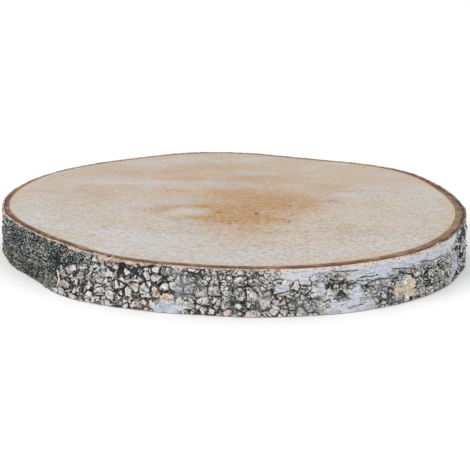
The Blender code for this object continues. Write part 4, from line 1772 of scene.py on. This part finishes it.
@dataclass
class BarkScales(BarkGrowth):
    """Flaky chips of dead bark, thin and angular, lying on the plates."""

    name: str = "bark_scales"
    finish: GrowthFinish = SCALE_FINISH
    spacing: float = 3.0 * MM
    density: float = 60000.0
    seed: int = 5
    radius: float = 1.5 * MM
    depth: float = 0.35 * MM
    sides: int = 5

    def shape(self, bench: ShapeBench) -> Wire:
        """A low many-sided block, wider on top."""
        sizes = {
            "Vertices": self.sides,
            "Radius Top": self.radius,
            "Radius Bottom": 0.8 * self.radius,
            "Depth": self.depth,
        }
        block = bench.node("GeometryNodeMeshCone", {"fill_type": "TRIANGLE_FAN"}, sizes)
        dropped = bench.vector("ADD", bench.spot(), (0.0, 0.0, -0.35 * self.depth))
        height = bench.axes(dropped).other("Z")
        lift = bench.rise(height, -0.3 * self.depth, 0.6 * self.depth)
        return bench.keep(bench.move(block, dropped), "lift", lift)

    def crowd(self, bench: ShapeBench) -> Wire:
        """On rough bark, away from algae and scars and out of the crevices."""
        rough = bench.rise(bench.mark("bare"), 0.5, 0.9) * bench.rise(bench.mark("algae"), 0.45, 0.2)
        rough = rough * bench.rise(bench.mark("blue"), 0.45, 0.2) * bench.rise(bench.mark("grey"), 0.45, 0.2)
        return rough * self.between(bench, 1.6 * MM, 27.0 * MM) * bench.rise(bench.mark("scar"), 0.4, 0.1)

    def tilt(self) -> float:
        """How far a shape may lean, in radians."""
        return 0.3

    def smooth(self) -> bool:
        """Whether the shapes have soft edges."""
        return False

    def scale(self, bench: ShapeBench) -> Wire:
        """Long or broad, small or large."""
        size = bench.chance(0.35, 1.25, 5)
        return bench.point(size * bench.chance(0.55, 1.4, 6), size, bench.chance(0.6, 1.3, 7))

    def settle(self, bench: ShapeBench, shape: Wire) -> Wire:
        """Makes each chip's outline uneven."""
        return bench.move(shape, bench.stray(bench.stray(bench.spot(), 330.0, 1.6 * MM), 1100.0, 0.7 * MM))


@dataclass
class AlgaeGrains(BarkGrowth):
    """Grains of algae and lichen."""

    name: str = "algae_grains"
    finish: GrowthFinish = ALGAE_FINISH
    spacing: float = 0.9 * MM
    density: float = 700000.0
    seed: int = 6
    radius: float = 0.30 * MM

    def shape(self, bench: ShapeBench) -> Wire:
        """A small round grain."""
        grain = bench.node("GeometryNodeMeshIcoSphere", None, {"Radius": self.radius, "Subdivisions": 1})
        height = bench.axes(bench.spot()).other("Z")
        return bench.keep(grain, "lift", bench.rise(height, -0.4 * self.radius, 0.5 * self.radius))

    def crowd(self, bench: ShapeBench) -> Wire:
        """Thick where the algae is, and thin in the crevices elsewhere."""
        grown = bench.most(bench.mark("algae"), 0.10 * bench.mark("crack"))
        return grown * self.between(bench, 0.6 * MM, 28.6 * MM)

    def scale(self, bench: ShapeBench) -> Wire:
        """Flattened, small or large."""
        size = bench.chance(0.5, 1.5, 5)
        return bench.point(size * bench.chance(0.7, 1.5, 6), size, 0.7 * size)


@dataclass
class BentStrips(BarkGrowth):
    """Narrow strips bent to an arc: the shape of curls and of fibres."""

    length: float = 6.0 * MM
    width: float = 1.0 * MM
    depth: float = 0.18 * MM
    bend: float = 1.9
    steps: int = 8

    def shape(self, bench: ShapeBench) -> Wire:
        """A flat bar bent upwards at both ends."""
        sizes = {"Size": (self.length, self.width, self.depth), "Vertices X": self.steps}
        bar = bench.node("GeometryNodeMeshCube", None, sizes | {"Vertices Y": 2, "Vertices Z": 2})
        local = bench.axes(bench.spot())
        turn = local * (self.bend / self.length)
        radius = self.length / self.bend
        reach = radius - local.other("Z")
        taper = 1.0 - 0.55 * bench.rise(bench.maths("ABSOLUTE", turn), 0.2 * self.bend, 0.5 * self.bend)
        rise = radius - reach * bench.maths("COSINE", turn)
        bent = bench.point(reach * bench.maths("SINE", turn), local.other("Y") * taper, rise)
        return bench.keep(bench.move(bar, bent), "lift", bench.rise(rise, -0.5 * self.depth, self.depth))

    def scale(self, bench: ShapeBench) -> Wire:
        """Short or long, narrow or broad."""
        return bench.point(bench.chance(0.5, 1.2, 5), bench.chance(0.5, 1.3, 6), bench.chance(0.5, 1.0, 7))


@dataclass
class PaperCurls(BentStrips):
    """Strips of the bark's paper that have come loose and curled."""

    name: str = "paper_curls"
    finish: GrowthFinish = CURL_FINISH
    spacing: float = 3.3 * MM
    density: float = 60000.0
    seed: int = 7
    width: float = 1.9 * MM
    bend: float = 1.5

    def crowd(self, bench: ShapeBench) -> Wire:
        """Where the bark peels."""
        return bench.rise(bench.mark("curled"), 0.2, 0.8) * self.between(bench, 2.0 * MM, 28.0 * MM)

    def tilt(self) -> float:
        """How far a shape may lean, in radians."""
        return 0.3

    def steer(self, bench: ShapeBench, rotation: Wire) -> Wire:
        """Stands the curls up along the trunk, each a little askew."""
        askew = bench.point(bench.chance(-0.7, 0.7, 8), bench.chance(-0.7, 0.7, 9), 1.0)
        feeds = {"Rotation": rotation, "Vector": askew}
        return bench.node("FunctionNodeAlignRotationToVector", {"axis": "X", "pivot_axis": "Z"}, feeds)


@dataclass
class RimFibres(BentStrips):
    """Torn fibres that the saw left on the bark's cut edge."""

    name: str = "rim_fibres"
    finish: GrowthFinish = FIBRE_FINISH
    spacing: float = 0.8 * MM
    density: float = 500000.0
    seed: int = 8
    length: float = 4.6 * MM
    width: float = 0.45 * MM
    depth: float = 0.2 * MM
    bend: float = 1.5

    def crowd(self, bench: ShapeBench) -> Wire:
        """On the top cut edge, where it tore."""
        on_rim = bench.rise(bench.mark("side"), 0.7, 0.3)
        on_top = bench.rise(bench.mark("below_top"), 1.0 * MM, 0.6 * MM)
        return on_rim * on_top * bench.rise(bench.mark("torn"), 0.1, 0.8)

    def tilt(self) -> float:
        """How far a shape may lean, in radians."""
        return 0.35


@dataclass(frozen=True)
class Lamp:
    """A square soft light that looks at the slice."""

    name: str
    place: tuple[float, float, float]
    size: float
    power: float

    def hang(self) -> None:
        """Puts the light into the scene."""
        light = bpy.data.lights.new(self.name, "AREA")
        light.size = self.size
        light.energy = self.power
        lamp = bpy.data.objects.new(self.name, light)
        lamp.location = self.place
        lamp.rotation_euler = (-Vector(self.place)).to_track_quat("-Z", "Y").to_euler()
        bpy.context.scene.collection.objects.link(lamp)


@dataclass
class Studio:
    """The pale floor, the soft lights and the camera."""

    trunk: Trunk
    elevation: float = math.radians(15.27)
    distance: float = 2.336
    lens: float = 284.8
    aim: tuple[float, float, float] = (-0.9 * MM, 0.0, 11.9 * MM)
    floor_size: float = 12.0
    floor_color: Color = paint(250, 250, 250)
    sky: float = 0.95
    lamps: tuple[Lamp, ...] = (
        Lamp("key", (-1.1, -1.3, 1.5), 1.2, 16.0),
        Lamp("fill", (1.4, -1.6, 0.5), 1.0, 5.0),
    )

    def build_floor(self) -> bpy.types.Object:
        """A plain pale floor, whole to the edge of what the camera sees."""
        half = 0.5 * self.floor_size
        mesh = bpy.data.meshes.new("floor")
        corners = [(-half, -half, 0.0), (half, -half, 0.0), (half, half, 0.0), (-half, half, 0.0)]
        mesh.from_pydata(corners, [], [(0, 1, 2, 3)])
        bench = FinishBench("floor")
        feeds = {"Base Color": self.floor_color, "Roughness": 0.9, "Specular IOR Level": 0.2}
        shader = bench.node("ShaderNodeBsdfPrincipled", None, feeds)
        bench.node("ShaderNodeOutputMaterial", None, {"Surface": shader})
        mesh.materials.append(bench.material)
        floor = bpy.data.objects.new("floor", mesh)
        bpy.context.scene.collection.objects.link(floor)
        return floor

    def build_light(self) -> None:
        """A white sky, a large light over the camera's left, and a weaker one low at its right."""
        scene = bpy.context.scene
        scene.world = bpy.data.worlds.new("sky")
        scene.world.use_nodes = True
        sky = scene.world.node_tree.nodes["Background"]
        sky.inputs["Color"].default_value = (1.0, 1.0, 1.0, 1.0)
        sky.inputs["Strength"].default_value = self.sky
        scene.view_settings.view_transform = "Standard"
        for lamp in self.lamps:
            lamp.hang()

    def build_camera(self) -> None:
        """The camera, in front of the slice and a little above it."""
        data = bpy.data.cameras.new("camera")
        data.lens = self.lens
        data.clip_start = 0.1
        data.clip_end = 50.0
        camera = bpy.data.objects.new("camera", data)
        aim = Vector(self.aim) + Vector((*self.trunk.centre, 0.0))
        back = Vector((0.0, -math.cos(self.elevation), math.sin(self.elevation)))
        camera.location = aim + self.distance * back
        camera.rotation_euler = (-back).to_track_quat("-Z", "Y").to_euler()
        bpy.context.scene.collection.objects.link(camera)
        bpy.context.scene.camera = camera


def main() -> None:
    """Builds the studio and the slice's pieces, and reports each."""
    logging.basicConfig(level=logging.INFO, format="%(name)s: %(message)s")
    trunk = Trunk.from_frame()
    studio = Studio(trunk)
    studio.build_camera()
    studio.build_floor()
    studio.build_light()
    outer_bark = OuterBark(trunk)
    bark = outer_bark.build()
    InnerBark(trunk).build(outer_bark)
    SawnWood(trunk).build()
    for growth in (BarkScales(), AlgaeGrains(), PaperCurls(), RimFibres()):
        growth.build(bark)


if __name__ == "__main__":
    main()
